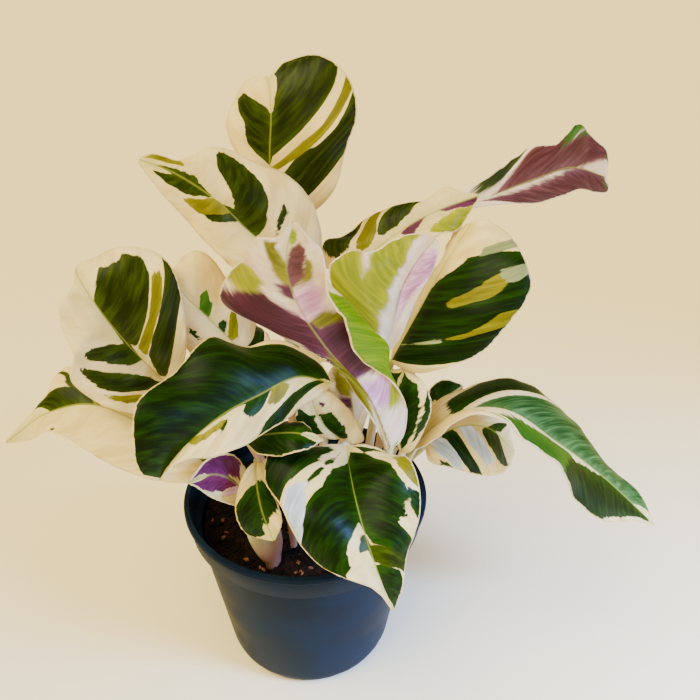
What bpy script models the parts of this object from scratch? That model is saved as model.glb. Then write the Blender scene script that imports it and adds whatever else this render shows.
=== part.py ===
# Calathea White Fusion: a potted prayer plant in a 12 cm nursery pot.
# Origin at the middle of the pot's underside, +X to the right, +Y to the back, +Z up.
# Lengths in the tables are millimetres; MM turns them into metres.

import math

import bmesh
import bpy
import numpy as np
from mathutils import Vector

MM = 0.001
GAP = 0.3

# Nursery pot
POT_HEIGHT = 95.0
POT_RIM_RADIUS = 60.0
POT_COLLAR_HEIGHT = 13.5
POT_COLLAR_RADIUS = 57.6
POT_BODY_TOP_RADIUS = 54.4
POT_BODY_BOTTOM_RADIUS = 43.0
POT_FOOT_RADIUS = 37.5
POT_FOOT_HEIGHT = 8.0
POT_WALL = 1.5
POT_SEGMENTS = 48
DRAIN_COUNT = 8
DRAIN_WIDTH = 9.0
DRAIN_HEIGHT = 4.0

# Peat soil
SOIL_TOP = 80.0
SOIL_CROWN = 1.2
SOIL_RINGS = 5
STEM_DEPTH = 16.0
STEM_STRAIGHT = 2.5
HOLE_SIDES = 10

# Leaf blades
BLADE_HALF = 0.36
BLADE_ROWS = 13
BLADE_COLUMNS = 6
STALK_ROWS = 5
RIB_WIDTH = 1.6
BLADE_START = 0.02
BLADE_END = 0.985

# Each leaf: where its stalk enters the soil, points along the stalk, then the rib and
# the two margins of the blade from its base to its tip. Left and right are as seen
# on the upper face with the tip up. "arch" is how far each half bulges upwards, as a
# share of its width, "waves" are the edge waves: count, height and phase.
LEAVES = {
    "leaf_top": {
        "hole": (4, 24),
        "stalk": [(2, 24, 120), (-6, 22, 180)],
        "rib": [(-6, 27, 223), (-12, 30, 247), (-11, 34, 271), (-12, 42, 284)],
        "left": [(-17, 30, 229), (-25, 35, 242), (-30, 42, 255), (-31, 50, 269), (-21, 50, 281)],
        "right": [(5, 27, 229), (16, 25, 242), (20, 25, 258), (25, 29, 272),
                  (20, 38, 286), (8, 44, 292), (-5, 46, 289)],
        "arch": (0.1, 0.1),
        "waves": (4, 1.2, 0.5),
        "stem": 1.6,
    },
    "leaf_upper_left": {
        "hole": (-4, 10),
        "stalk": [(-6, 10, 130), (-6, 10, 180)],
        "rib": [(-5, 2, 217), (-19, 4, 229), (-32, 4, 243), (-49, 4, 255), (-62, 4, 260)],
        "left": [(-14, -8, 211), (-27, -6, 219), (-36, -3, 227),
                 (-44, 0, 236), (-54, 2, 248), (-60, 3, 257)],
        "right": [(7, 10, 213), (10, 14, 220), (6, 18, 236), (-4, 18, 249),
                  (-18, 18, 255), (-33, 16, 261), (-46, 10, 258), (-56, 7, 261)],
        "arch": (0.1, 0.1),
        "waves": (3, 1.2, 0),
        "stem": 1.6,
    },
    "leaf_rolled_centre": {
        "hole": (36, -4),
        "stalk": [(37, -6, 100)],
        "rib": [(40, -10, 127), (29, -18, 163), (12, -26, 192),
                (2, -34, 216), (-1, -42, 236), (3, -50, 256)],
        "left": [(46, -8, 137), (47, -8, 149), (41, -12, 165), (31, -20, 178), (23, -28, 193),
                 (19, -36, 211), (14, -42, 224), (12, -46, 242), (8, -50, 249)],
        "right": [(29, -18, 155), (14, -24, 185), (3, -26, 194), (-13, -24, 201), (-28, -24, 212),
                  (-23, -34, 228), (-15, -42, 238), (-10, -48, 248), (-2, -50, 249)],
        "foldLeft": [(45, -8, 131), (46, -8, 146), (38, -12, 171), (37, -14, 186), (31, -18, 195),
                     (20, -28, 214), (11, -38, 229), (7, -43, 239), (5, -48, 248)],
        "arch": (0.1, -0.12),
        "waves": (4, 1, 0),
        "stem": 2,
    },
    "leaf_young_green": {
        "hole": (29, 8),
        "stalk": [(32, 8, 120)],
        "rib": [(38, 4, 170), (41, 5, 188), (45, 7, 205), (52, 9, 217), (59, 12, 224)],
        "left": [(43, 4, 177), (48, 5, 189), (52, 6, 200), (58, 8, 211), (60, 11, 220)],
        "right": [(30, -2, 176), (21, -8, 196), (13, -6, 218), (22, -2, 223),
                  (31, 3, 221), (40, 7, 225), (51, 11, 226)],
        "arch": (-0.1, -0.15),
        "waves": (3, 1, 1),
        "stem": 1.6,
    },
    "leaf_right_broad": {
        "hole": (34, 18),
        "stalk": [(38, 19, 120), (39, 18, 148)],
        "rib": [(41, 8, 164), (52, 14, 184), (65, 22, 207), (77, 30, 224)],
        "left": [(43, 14, 170), (47, 18, 182), (56, 24, 196), (66, 30, 211), (73, 33, 221)],
        "right": [(50, -2, 165), (62, -8, 170), (78, -10, 180), (90, -8, 193),
                  (98, -2, 209), (96, 8, 217), (90, 20, 223), (83, 28, 225)],
        "arch": (0.1, 0.16),
        "waves": (4, 1.5, 1),
        "stem": 1.6,
    },
    "leaf_back_long": {
        "hole": (26, 24),
        "stalk": [(22, 24, 130), (19, 22, 190)],
        "rib": [(20, 22, 201), (39, 28, 216), (58, 34, 226), (81, 40, 233)],
        "left": [(10, 30, 203), (10, 34, 213), (20, 36, 215), (32, 38, 224),
                 (45, 40, 229), (56, 40, 230), (65, 42, 236), (73, 41, 234)],
        "right": [(32, 18, 203), (42, 18, 210), (53, 22, 214),
                  (62, 26, 219), (70, 30, 220), (76, 36, 226)],
        "arch": (0.1, 0.1),
        "waves": (3, 1, 1),
        "stem": 1.4,
    },
    "leaf_far_right": {
        "hole": (38, 27),
        "stalk": [(46, 26, 120), (62, 34, 180)],
        "rib": [(75, 48, 223), (91, 54, 229), (111, 60, 235), (127, 66, 238), (148, 72, 231)],
        "left": [(84, 48, 225), (99, 54, 224), (113, 58, 223), (123, 62, 225),
                 (134, 66, 227), (144, 70, 224), (149, 72, 224)],
        "right": [(75, 52, 230), (87, 56, 237), (100, 60, 245), (107, 62, 249),
                  (118, 64, 250), (129, 68, 258), (137, 72, 251), (146, 74, 243)],
        "arch": (-0.1, -0.12),
        "waves": (3, 1, 0),
        "stem": 1.4,
    },
    "leaf_left_broad": {
        "hole": (-18, 4),
        "stalk": [(-22, 4, 110), (-40, 0, 145)],
        "rib": [(-58, -10, 163), (-70, -16, 186), (-79, -18, 204),
                (-85, -16, 215), (-89, -10, 220)],
        "left": [(-60, -22, 156), (-71, -28, 161), (-82, -30, 167), (-92, -30, 178),
                 (-89, -30, 192), (-93, -26, 202), (-93, -22, 210), (-89, -16, 214)],
        "right": [(-52, -12, 171), (-47, -14, 186), (-47, -12, 202), (-51, -6, 218),
                  (-60, -2, 224), (-72, -2, 225), (-82, -4, 222)],
        "arch": (0.06, 0.14),
        "waves": (4, 1.4, 0),
        "stem": 1.6,
    },
    "leaf_left_low": {
        "hole": (-30, -8),
        "stalk": [(-33, -9, 100)],
        "rib": [(-36, -22, 120), (-53, -24, 140), (-71, -24, 154),
                (-89, -22, 161), (-110, -18, 154), (-136, -14, 134)],
        "left": [(-41, -34, 128), (-58, -38, 132), (-70, -36, 134),
                 (-91, -30, 141), (-108, -22, 147), (-124, -16, 137)],
        "right": [(-47, -10, 139), (-69, -4, 154), (-91, -2, 163),
                  (-104, -4, 168), (-113, -12, 159), (-122, -14, 149)],
        "arch": (0.1, 0.12),
        "waves": (3, 1.2, 1),
        "stem": 1.6,
    },
    "leaf_front_left": {
        "hole": (6, -6),
        "stalk": [(8, -4, 110), (12, -4, 150)],
        "rib": [(14, -12, 165), (0, -22, 175), (-15, -34, 174),
                (-29, -44, 171), (-43, -52, 162), (-55, -56, 147)],
        "left": [(7, -20, 163), (-5, -34, 162), (-14, -44, 161), (-21, -50, 160),
                 (-31, -56, 160), (-40, -58, 160), (-50, -58, 154)],
        "right": [(7, -8, 176), (-8, -8, 184), (-22, -14, 185), (-35, -18, 192),
                  (-48, -34, 185), (-60, -50, 181), (-61, -58, 169), (-60, -60, 156)],
        "arch": (0.1, 0.14),
        "waves": (4, 1.6, 0.5),
        "stem": 1.8,
    },
    "leaf_front_hanging": {
        "hole": (20, -4),
        "stalk": [(20, -4, 100), (20, -8, 122)],
        "rib": [(20, -14, 133), (23, -42, 133), (27, -60, 127), (32, -70, 116), (40, -73, 91)],
        "left": [(30, -19, 136), (41, -28, 139), (48, -38, 142), (51, -46, 136),
                 (51, -54, 130), (48, -62, 124), (45, -68, 116), (43, -72, 103)],
        "right": [(2, -27, 142), (-13, -36, 144), (-13, -46, 139), (-8, -54, 136), (-4, -61, 132),
                  (3, -68, 123), (11, -72, 116), (22, -75, 113), (33, -75, 106)],
        "arch": (0.12, 0.14),
        "waves": (4, 1.6, 0),
        "stem": 1.8,
    },
    "leaf_front_small": {
        "hole": (-6, -14),
        "stalk": [(-8, -12, 110), (-14, -14, 136)],
        "rib": [(-24, -28, 147), (-12, -34, 154), (-1, -36, 156), (11, -34, 151)],
        "left": [(-22, -22, 150), (-10, -25, 155), (1, -28, 155)],
        "right": [(-18, -36, 146), (-9, -42, 149), (0, -44, 152), (6, -41, 153)],
        "arch": (0.1, 0.1),
        "waves": (3, 1.2, 1),
        "stem": 1.3,
    },
    "leaf_centre_small": {
        "hole": (12, 2),
        "stalk": [(14, 2, 110)],
        "rib": [(19, -5, 130), (12, -12, 141), (7, -17, 153), (5, -18, 161)],
        "left": [(10, -12, 136), (0, -20, 147), (-2, -22, 156), (1, -20, 161)],
        "right": [(28, -4, 127), (24, -9, 145), (18, -12, 156), (12, -15, 163)],
        "arch": (0.12, 0.12),
        "waves": (3, 1, 0),
        "stem": 1.4,
    },
    "leaf_behind_centre": {
        "hole": (41, -1),
        "stalk": [(43, -1, 100)],
        "rib": [(47, -3, 120), (45, -3, 136), (44, -1, 152), (47, 3, 164)],
        "left": [(42, 2, 124), (39, 4, 137), (38, 5, 151), (41, 6, 160)],
        "right": [(51, -5, 123), (56, -8, 137), (59, -8, 151), (55, -3, 160)],
        "arch": (0.12, 0.16),
        "waves": (2, 0.8, 0),
        "stem": 1.5,
    },
    "leaf_right_arching": {
        "hole": (45, 4),
        "stalk": [(47, 4, 102)],
        "rib": [(52, 3, 116), (64, 2, 133), (78, -2, 143), (96, -6, 145),
                (117, -6, 130), (146, -4, 105), (180, 0, 69)],
        "left": [(56, 8, 125), (64, 13, 138), (76, 15, 145), (94, 16, 149),
                 (115, 16, 143), (134, 13, 123), (155, 8, 100), (169, 3, 88)],
        "right": [(58, -4, 125), (71, -16, 149), (87, -22, 153), (99, -24, 145),
                  (117, -22, 125), (129, -20, 105), (145, -14, 87), (166, -6, 79)],
        "arch": (0.12, 0.12),
        "waves": (4, 1.4, 0),
        "stem": 1.8,
    },
    "leaf_right_under": {
        "hole": (45, 11),
        "stalk": [(48, 12, 98)],
        "rib": [(60, 12, 113), (76, 20, 118), (93, 28, 112), (111, 34, 91)],
        "left": [(68, 22, 119), (80, 30, 121), (95, 36, 116), (106, 38, 106)],
        "right": [(61, 6, 108), (73, 8, 102), (90, 14, 92), (105, 26, 85)],
        "arch": (0.1, 0.1),
        "waves": (2, 0.8, 0),
        "stem": 1.3,
    },
    "leaf_right_small": {
        "hole": (42, 18),
        "stalk": [(46, 18, 108)],
        "rib": [(61, 14, 120), (66, 18, 134), (78, 24, 141)],
        "left": [(60, 22, 126), (62, 26, 137), (69, 27, 142)],
        "right": [(70, 10, 128), (77, 14, 136)],
        "arch": (0.1, 0.1),
        "waves": (2, 0.6, 0),
        "stem": 1.2,
    },
    "leaf_left_pale": {
        "hole": (-14, 18),
        "stalk": [(-18, 18, 120), (-24, 12, 160)],
        "rib": [(-26, 0, 174), (-40, 0, 192), (-49, 0, 203), (-54, 2, 212)],
        "left": [(-32, -8, 172), (-45, -10, 177), (-51, -8, 187), (-54, -4, 199)],
        "right": [(-21, 12, 179), (-24, 12, 196), (-32, 10, 206),
                  (-38, 8, 217), (-43, 7, 220), (-49, 6, 217)],
        "arch": (0.08, 0.1),
        "waves": (3, 1.2, 0),
        "stem": 1.4,
    },
    "leaf_rim_purple": {
        "hole": (-14, -34),
        "stalk": [(-15, -34, 90)],
        "rib": [(-22, -31, 110), (-28, -32, 125), (-36, -37, 135), (-46, -46, 138)],
        "left": [(-28, -36, 116), (-37, -41, 125), (-43, -45, 135)],
        "right": [(-23, -24, 122), (-30, -26, 137), (-38, -35, 142)],
        "arch": (-0.15, -0.15),
        "waves": (2, 0.6, 0),
        "stem": 2.4,
    },
    "leaf_rim_small": {
        "hole": (-5, -24),
        "stalk": [(-6, -24, 100), (-10, -26, 128)],
        "rib": [(-18, -34, 140), (-18, -40, 135), (-16, -45, 123), (-11, -48, 107)],
        "left": [(-14, -36, 139), (-12, -41, 130), (-7, -47, 119)],
        "right": [(-22, -37, 138), (-26, -41, 130), (-27, -44, 119), (-23, -47, 110)],
        "arch": (0.12, 0.12),
        "waves": (2, 0.8, 0),
        "stem": 1.2,
    },
    "leaf_centre_young": {
        "hole": (20, 6),
        "stalk": [(21, 6, 110)],
        "rib": [(23, 3, 128), (23, 1, 145), (20, -1, 160), (17, -3, 173)],
        "left": [(28, 4, 141), (29, 3, 154), (24, 0, 169)],
        "right": [(18, 3, 136), (13, 1, 150), (12, -2, 164)],
        "arch": (-0.12, -0.12),
        "waves": (2, 0.8, 0),
        "stem": 1.3,
    },
    "leaf_back_low_left": {
        "hole": (-16, 30),
        "stalk": [(-18, 33, 105)],
        "rib": [(-24, 44, 126), (-36, 60, 142), (-50, 78, 146), (-66, 96, 134)],
        "left": [(-34, 44, 134), (-50, 56, 146), (-64, 74, 147), (-70, 90, 140)],
        "right": [(-20, 54, 132), (-24, 74, 142), (-38, 90, 144), (-56, 98, 137)],
        "arch": (0.12, 0.12),
        "waves": (3, 1.4, 0.4),
        "stem": 1.6,
    },
    "leaf_back_middle": {
        "hole": (2, 36),
        "stalk": [(3, 40, 110)],
        "rib": [(5, 50, 138), (9, 66, 156), (14, 84, 162), (20, 104, 152)],
        "left": [(-8, 54, 142), (-12, 70, 156), (-4, 88, 160), (10, 102, 155)],
        "right": [(18, 50, 141), (30, 64, 154), (34, 82, 158), (28, 98, 155)],
        "arch": (0.12, 0.12),
        "waves": (3, 1.4, 1.2),
        "stem": 1.6,
    },
    "leaf_back_low_right": {
        "hole": (22, 36),
        "stalk": [(26, 41, 98)],
        "rib": [(31, 50, 110), (40, 66, 115), (50, 84, 109), (60, 100, 92)],
        "left": [(24, 60, 114), (28, 78, 116), (40, 94, 108)],
        "right": [(42, 52, 110), (56, 64, 112), (62, 82, 105)],
        "arch": (0.12, 0.12),
        "waves": (3, 1.4, 2.0),
        "stem": 1.6,
    },
}

MATERIALS = {
    "pot_plastic": ("#2B3646", 0.45),
    "peat_soil": ("#1E140E", 0.95),
    "leaf_tissue": ("#3F6420", 0.5),
    "leaf_young_tissue": ("#A9B13C", 0.45),
    "leaf_underside_tissue": ("#8A5A74", 0.5),
}

LEAF_TISSUE = {
    "leaf_young_green": "leaf_young_tissue",
    "leaf_rolled_centre": "leaf_underside_tissue",
    "leaf_far_right": "leaf_underside_tissue",
    "leaf_rim_purple": "leaf_underside_tissue",
}


def clear_scene():
    for thing in list(bpy.data.objects):
        bpy.data.objects.remove(thing, do_unlink=True)


def linear_colour(text):
    parts = [int(text[i:i + 2], 16) / 255 for i in (1, 3, 5)]
    return [c / 12.92 if c <= 0.04045 else ((c + 0.055) / 1.055) ** 2.4 for c in parts] + [1.0]


def make_material(name):
    colour, roughness = MATERIALS[name]
    material = bpy.data.materials.new(name)
    material.use_nodes = True
    shader = material.node_tree.nodes["Principled BSDF"]
    shader.inputs["Base Color"].default_value = linear_colour(colour)
    shader.inputs["Roughness"].default_value = roughness
    shader.inputs["Metallic"].default_value = 0.0
    return material


def add_object(name, points, faces, material):
    # Points are in millimetres, faces are lists of point numbers.
    mesh = bpy.data.meshes.new(name)
    mesh.from_pydata([tuple(c * MM for c in p) for p in points], [], faces)
    mesh.update()
    point_outwards(mesh)
    mesh.shade_smooth()
    mesh.set_sharp_from_angle(angle=math.radians(40))
    mesh.materials.append(material)
    made = bpy.data.objects.new(name, mesh)
    bpy.context.scene.collection.objects.link(made)
    return made


def point_outwards(mesh):
    work = bmesh.new()
    work.from_mesh(mesh)
    if work.calc_volume(signed=True) < 0:
        bmesh.ops.reverse_faces(work, faces=work.faces)
    work.to_mesh(mesh)
    work.free()


def apply_boolean(target, cutter):
    cutter.hide_render = True
    cutter.display_type = "WIRE"
    cut = target.modifiers.new("cut", "BOOLEAN")
    cut.operation = "DIFFERENCE"
    cut.solver = "EXACT"
    cut.object = cutter
    graph = bpy.context.evaluated_depsgraph_get()
    mesh = bpy.data.meshes.new_from_object(target.evaluated_get(graph))
    target.modifiers.clear()
    target.data = mesh
    bpy.data.objects.remove(cutter, do_unlink=True)


def curve_through(points, count):
    # Centripetal curve through the points, read at equal steps of its length.
    pts = np.array(points, float)
    if len(pts) == 2:
        share = np.linspace(0, 1, count)[:, None]
        return pts[0] * (1 - share) + pts[1] * share
    first = 2 * pts[0] - pts[1]
    last = 2 * pts[-1] - pts[-2]
    pts = np.vstack([first, pts, last])
    dense = []
    for a, b, c, d in zip(pts, pts[1:], pts[2:], pts[3:]):
        dense.append(curve_piece(a, b, c, d))
    dense = np.vstack(dense + [pts[-2][None, :]])
    steps = np.linalg.norm(np.diff(dense, axis=0), axis=1)
    length = np.concatenate([[0], np.cumsum(steps)])
    wanted = np.linspace(0, length[-1], count)
    return np.stack([np.interp(wanted, length, dense[:, i]) for i in range(3)], axis=1)


def curve_piece(a, b, c, d, count=24):
    knots = [0.0]
    for p, q in ((a, b), (b, c), (c, d)):
        knots.append(knots[-1] + max(np.linalg.norm(q - p), 1e-6) ** 0.5)
    t0, t1, t2, t3 = knots
    t = np.linspace(t1, t2, count, endpoint=False)[:, None]
    ab = a * (t1 - t) / (t1 - t0) + b * (t - t0) / (t1 - t0)
    bc = b * (t2 - t) / (t2 - t1) + c * (t - t1) / (t2 - t1)
    cd = c * (t3 - t) / (t3 - t2) + d * (t - t2) / (t3 - t2)
    abc = ab * (t2 - t) / (t2 - t0) + bc * (t - t0) / (t2 - t0)
    bcd = bc * (t3 - t) / (t3 - t1) + cd * (t - t1) / (t3 - t1)
    return abc * (t2 - t) / (t2 - t1) + bcd * (t - t1) / (t2 - t1)


def unit(vectors):
    return vectors / np.maximum(np.linalg.norm(vectors, axis=-1, keepdims=True), 1e-9)


def read_curve(points, shares, count=240):
    dense = curve_through(points, count)
    at = np.linspace(0, 1, count)
    return np.stack([np.interp(shares, at, dense[:, i]) for i in range(3)], axis=1)


def blade_surface(leaf, rows, columns):
    # Middle surface of the blade: rows from base to tip, columns from left to right.
    even = np.linspace(0, 1, rows)
    shares = even - 0.5 * np.sin(2 * math.pi * even) / (2 * math.pi)
    shares = BLADE_START + (BLADE_END - BLADE_START) * shares
    rib = read_curve(leaf["rib"], shares)
    along = unit(np.gradient(read_curve(leaf["rib"], np.linspace(0, 1, 60)), axis=0))
    along = np.stack([np.interp(shares, np.linspace(0, 1, 60), along[:, i]) for i in range(3)], 1)
    across = np.linspace(-1, 1, columns + 1)
    surface = np.zeros((rows, columns + 1, 3))
    ends = [leaf["rib"][0]], [leaf["rib"][-1]]
    for side, name, fold in ((-1, "left", "foldLeft"), (1, "right", "foldRight")):
        margin = read_curve(ends[0] + leaf[name] + ends[1], shares)
        outwards = margin - rib
        up = unit(np.cross(side * outwards, along))
        middle = rib + 0.5 * outwards + leaf["arch"][(side + 1) // 2] * up * np.linalg.norm(
            outwards, axis=1, keepdims=True)
        if fold in leaf:
            middle = read_curve(ends[0] + leaf[fold] + ends[1], shares)
        count, height, phase = leaf["waves"]
        for column, r in enumerate(across):
            if r * side < 0 or (r == 0 and side < 0):
                continue
            q = abs(r)
            path = rib * (1 - q) * (1 - 2 * q) + middle * 4 * q * (1 - q) + margin * q * (2 * q - 1)
            wave = height * q ** 2.5 * np.sin(2 * math.pi * count * shares + phase + side)
            wave = wave * np.sin(math.pi * shares) ** 0.5
            surface[:, column] = path + up * wave[:, None]
    return surface, shares, across


def surface_up(surface):
    along = np.gradient(surface, axis=0)
    across = np.gradient(surface, axis=1)
    up = unit(np.cross(across, along))
    up[0] = up[1]
    up[-1] = up[-2]
    return up


def stalk_rings(leaf, side, up, columns, count):
    # Rings from the soil to the blade's base, their frame carried back from the blade.
    x, y = leaf["hole"]
    foot = np.array([x, y, SOIL_TOP - STEM_DEPTH], float)
    collar = np.array([x, y, SOIL_TOP + STEM_STRAIGHT], float)
    path = [tuple(collar)] + leaf["stalk"] + [leaf["rib"][0]]
    points = np.vstack([foot[None, :], curve_through(path, count)])
    along = unit(np.gradient(points, axis=0))
    along[0] = along[1] = (0, 0, 1)
    along[-1] = unit(np.array(leaf["rib"][1], float) - leaf["stalk"][-1])
    rings = []
    turn = math.pi / (columns + 1)
    angles = [math.pi - turn * (j + 0.5) for j in range(columns + 1)]
    for k in range(len(points) - 1, -1, -1):
        side = unit(side - along[k] * np.dot(side, along[k]))
        up = unit(np.cross(side, along[k]))
        radius = leaf["stem"] * (1.0 + 0.25 * (1 - k / (len(points) - 1)))
        top = [points[k] + radius * (math.cos(a) * side + math.sin(a) * up) for a in angles]
        low = [points[k] + radius * (math.cos(a) * side - math.sin(a) * up) for a in angles]
        rings.append((top, low))
    return rings[::-1]


def leaf_rings(leaf, rows, columns, count):
    surface, shares, across = blade_surface(leaf, rows, columns)
    up = surface_up(surface)
    middle = columns // 2
    reach = np.linalg.norm(surface - surface[:, middle:middle + 1], axis=2)
    bump = (leaf["stem"] - BLADE_HALF) * (1 - shares) ** 0.8
    rib = bump[:, None] * np.exp(-(reach / RIB_WIDTH) ** 2)
    top = surface + up * (BLADE_HALF + 0.2 * rib)[:, :, None]
    low = surface - up * (BLADE_HALF + rib)[:, :, None]
    side = unit(surface[0, -1] - surface[0, 0])
    rings = stalk_rings(leaf, side, up[0, middle], columns, count)
    return rings + [(list(a), list(b)) for a, b in zip(top, low)]


def leaf_solid(leaf, rows=BLADE_ROWS, columns=BLADE_COLUMNS, count=STALK_ROWS):
    # One closed solid: both faces share their diagonals, so waves never cross.
    rings = leaf_rings(leaf, rows, columns, count)
    points = []
    for top, low in rings:
        points.extend(tuple(p) for p in top)
        points.extend(tuple(p) for p in low)
    width = columns + 1
    faces = []

    def spot(ring, row, column):
        return ring * 2 * width + row * width + column

    for ring in range(len(rings) - 1):
        for row in (0, 1):
            for j in range(columns):
                a, b = spot(ring, row, j), spot(ring, row, j + 1)
                c, d = spot(ring + 1, row, j + 1), spot(ring + 1, row, j)
                pair = [[a, b, c], [a, c, d]] if 2 * j >= columns else [[a, b, d], [b, c, d]]
                faces.extend(pair if row == 0 else [t[::-1] for t in pair])
        for j, flip in ((0, False), (columns, True)):
            a, b = spot(ring, 0, j), spot(ring + 1, 0, j)
            c, d = spot(ring + 1, 1, j), spot(ring, 1, j)
            edge = [[a, b, c], [a, c, d]]
            faces.extend([t[::-1] for t in edge] if flip else edge)
    last = len(rings) - 1
    for j in range(columns):
        foot = [spot(0, 0, j), spot(0, 1, j), spot(0, 1, j + 1), spot(0, 0, j + 1)]
        tip = [spot(last, 0, j), spot(last, 0, j + 1), spot(last, 1, j + 1), spot(last, 1, j)]
        faces.extend([foot, tip])
    return points, faces


def turned_solid(profile, segments):
    # Turns a closed outline of (radius, height) points; radius 0 ends on the axis.
    points = []
    rows = []
    for radius, height in profile:
        if radius == 0:
            rows.append([len(points)])
            points.append((0, 0, height))
            continue
        rows.append(list(range(len(points), len(points) + segments)))
        for k in range(segments):
            a = 2 * math.pi * k / segments
            points.append((radius * math.cos(a), radius * math.sin(a), height))
    faces = []
    for low, high in zip(rows, rows[1:]):
        for k in range(segments):
            m = (k + 1) % segments
            if len(low) == 1:
                faces.append([low[0], high[k], high[m]])
            elif len(high) == 1:
                faces.append([low[k], high[0], low[m]])
            else:
                faces.append([low[k], high[k], high[m], low[m]])
    return points, faces


def pot_outside_radius(height):
    share = (height - POT_FOOT_HEIGHT) / (POT_HEIGHT - POT_COLLAR_HEIGHT - POT_FOOT_HEIGHT)
    return POT_BODY_BOTTOM_RADIUS + (POT_BODY_TOP_RADIUS - POT_BODY_BOTTOM_RADIUS) * share


def build_pot(material):
    collar = POT_HEIGHT - POT_COLLAR_HEIGHT
    profile = [
        (0, 0),
        (POT_FOOT_RADIUS, 0),
        (POT_FOOT_RADIUS + 3.2, 2.4),
        (POT_BODY_BOTTOM_RADIUS, POT_FOOT_HEIGHT),
        (POT_BODY_TOP_RADIUS, collar - 1.0),
        (POT_COLLAR_RADIUS, collar),
        (POT_COLLAR_RADIUS + 1.4, POT_HEIGHT - 3.0),
        (POT_RIM_RADIUS, POT_HEIGHT - 2.4),
        (POT_RIM_RADIUS, POT_HEIGHT - 0.6),
        (POT_RIM_RADIUS - 0.7, POT_HEIGHT),
        (POT_COLLAR_RADIUS - 0.2, POT_HEIGHT),
        (POT_COLLAR_RADIUS - POT_WALL + 0.6, POT_HEIGHT - 1.2),
        (POT_COLLAR_RADIUS - POT_WALL - 0.4, collar + 1.5),
        (POT_BODY_TOP_RADIUS - POT_WALL, collar - 1.5),
        (POT_BODY_BOTTOM_RADIUS - POT_WALL, POT_FOOT_HEIGHT),
        (POT_FOOT_RADIUS + 1.6, 3.0),
        (POT_FOOT_RADIUS - 0.6, POT_WALL),
        (0, POT_WALL),
    ]
    points, faces = turned_solid(profile, POT_SEGMENTS)
    pot = add_object("nursery_pot", points, faces, material)
    for k in range(DRAIN_COUNT):
        cut_drain(pot, 2 * math.pi * (k + 0.5) / DRAIN_COUNT, material)


def cut_drain(pot, angle, material):
    # A low arched slot through the foot's corner.
    radial = Vector((math.cos(angle), math.sin(angle), 0))
    sideways = Vector((-math.sin(angle), math.cos(angle), 0))
    arc = [(DRAIN_WIDTH / 2 * math.cos(math.pi * i / 5), DRAIN_HEIGHT * math.sin(math.pi * i / 5))
           for i in range(6)]
    outline = [(DRAIN_WIDTH / 2, -2.0)] + arc + [(-DRAIN_WIDTH / 2, -2.0)]
    points = []
    for radius in (POT_FOOT_RADIUS - 2.0, POT_BODY_BOTTOM_RADIUS + 4.0):
        points.extend(radial * radius + sideways * s + Vector((0, 0, h)) for s, h in outline)
    n = len(outline)
    faces = [list(range(n)), list(range(2 * n - 1, n - 1, -1))]
    faces += [[i, i + n, (i + 1) % n + n, (i + 1) % n] for i in range(n)]
    apply_boolean(pot, add_object("drain_cutter", points, faces, material))


def build_soil(material):
    wall = POT_WALL + GAP
    top_radius = pot_outside_radius(SOIL_TOP) - wall - 0.3
    low_radius = POT_BODY_BOTTOM_RADIUS - wall - 0.1
    profile = [(0, POT_WALL + GAP), (POT_FOOT_RADIUS - 2.8, POT_WALL + GAP),
               (low_radius, POT_FOOT_HEIGHT + 0.4), (top_radius, SOIL_TOP - 0.8)]
    for k in range(SOIL_RINGS):
        share = 1 - (k + 0.6) / (SOIL_RINGS + 0.2)
        profile.append((top_radius * share, SOIL_TOP))
    profile.append((0, SOIL_TOP))
    points, faces = turned_solid(profile, 36)
    points = [raised(p) for p in points]
    soil = add_object("soil", points, faces, material)
    for leaf in LEAVES.values():
        cut_hole(soil, leaf, material)


def raised(point):
    # Low uneven mounds on the top of the soil.
    x, y, z = point
    if z < SOIL_TOP - 0.1:
        return point
    return x, y, z + SOIL_CROWN * math.sin(x * 0.13 + 0.7) * math.cos(y * 0.16)


def cut_hole(soil, leaf, material):
    radius = (leaf["stem"] * 1.25 + GAP) / math.cos(math.pi / HOLE_SIDES)
    x, y = leaf["hole"]
    low, high = SOIL_TOP - STEM_DEPTH - GAP, SOIL_TOP + 6
    points, faces = turned_solid([(0, low), (radius, low), (radius, high), (0, high)], HOLE_SIDES)
    points = [(px + x, py + y, pz) for px, py, pz in points]
    apply_boolean(soil, add_object("hole_cutter", points, faces, material))


def build_leaves(materials):
    for name, leaf in LEAVES.items():
        points, faces = leaf_solid(leaf)
        add_object(name, points, faces, materials[LEAF_TISSUE.get(name, "leaf_tissue")])


def main():
    clear_scene()
    materials = {name: make_material(name) for name in MATERIALS}
    build_pot(materials["pot_plastic"])
    build_soil(materials["peat_soil"])
    build_leaves(materials)


main()
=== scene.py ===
import math

import bmesh
import bpy
import numpy as np
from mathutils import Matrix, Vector


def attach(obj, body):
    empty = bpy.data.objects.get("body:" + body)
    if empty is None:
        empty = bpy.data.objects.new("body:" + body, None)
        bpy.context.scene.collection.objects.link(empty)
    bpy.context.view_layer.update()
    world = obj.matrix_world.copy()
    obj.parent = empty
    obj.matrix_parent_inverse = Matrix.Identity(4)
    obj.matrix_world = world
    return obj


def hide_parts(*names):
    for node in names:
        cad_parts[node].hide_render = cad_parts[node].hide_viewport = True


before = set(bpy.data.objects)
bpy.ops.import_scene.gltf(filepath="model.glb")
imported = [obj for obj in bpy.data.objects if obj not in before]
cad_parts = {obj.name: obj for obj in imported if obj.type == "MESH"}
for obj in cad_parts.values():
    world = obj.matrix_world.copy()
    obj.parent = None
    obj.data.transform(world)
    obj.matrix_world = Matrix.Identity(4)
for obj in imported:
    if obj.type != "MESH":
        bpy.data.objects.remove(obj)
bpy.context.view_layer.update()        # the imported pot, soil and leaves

mm = 0.001
print("calathea: frame loaded,", len(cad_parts), "solids")


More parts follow.
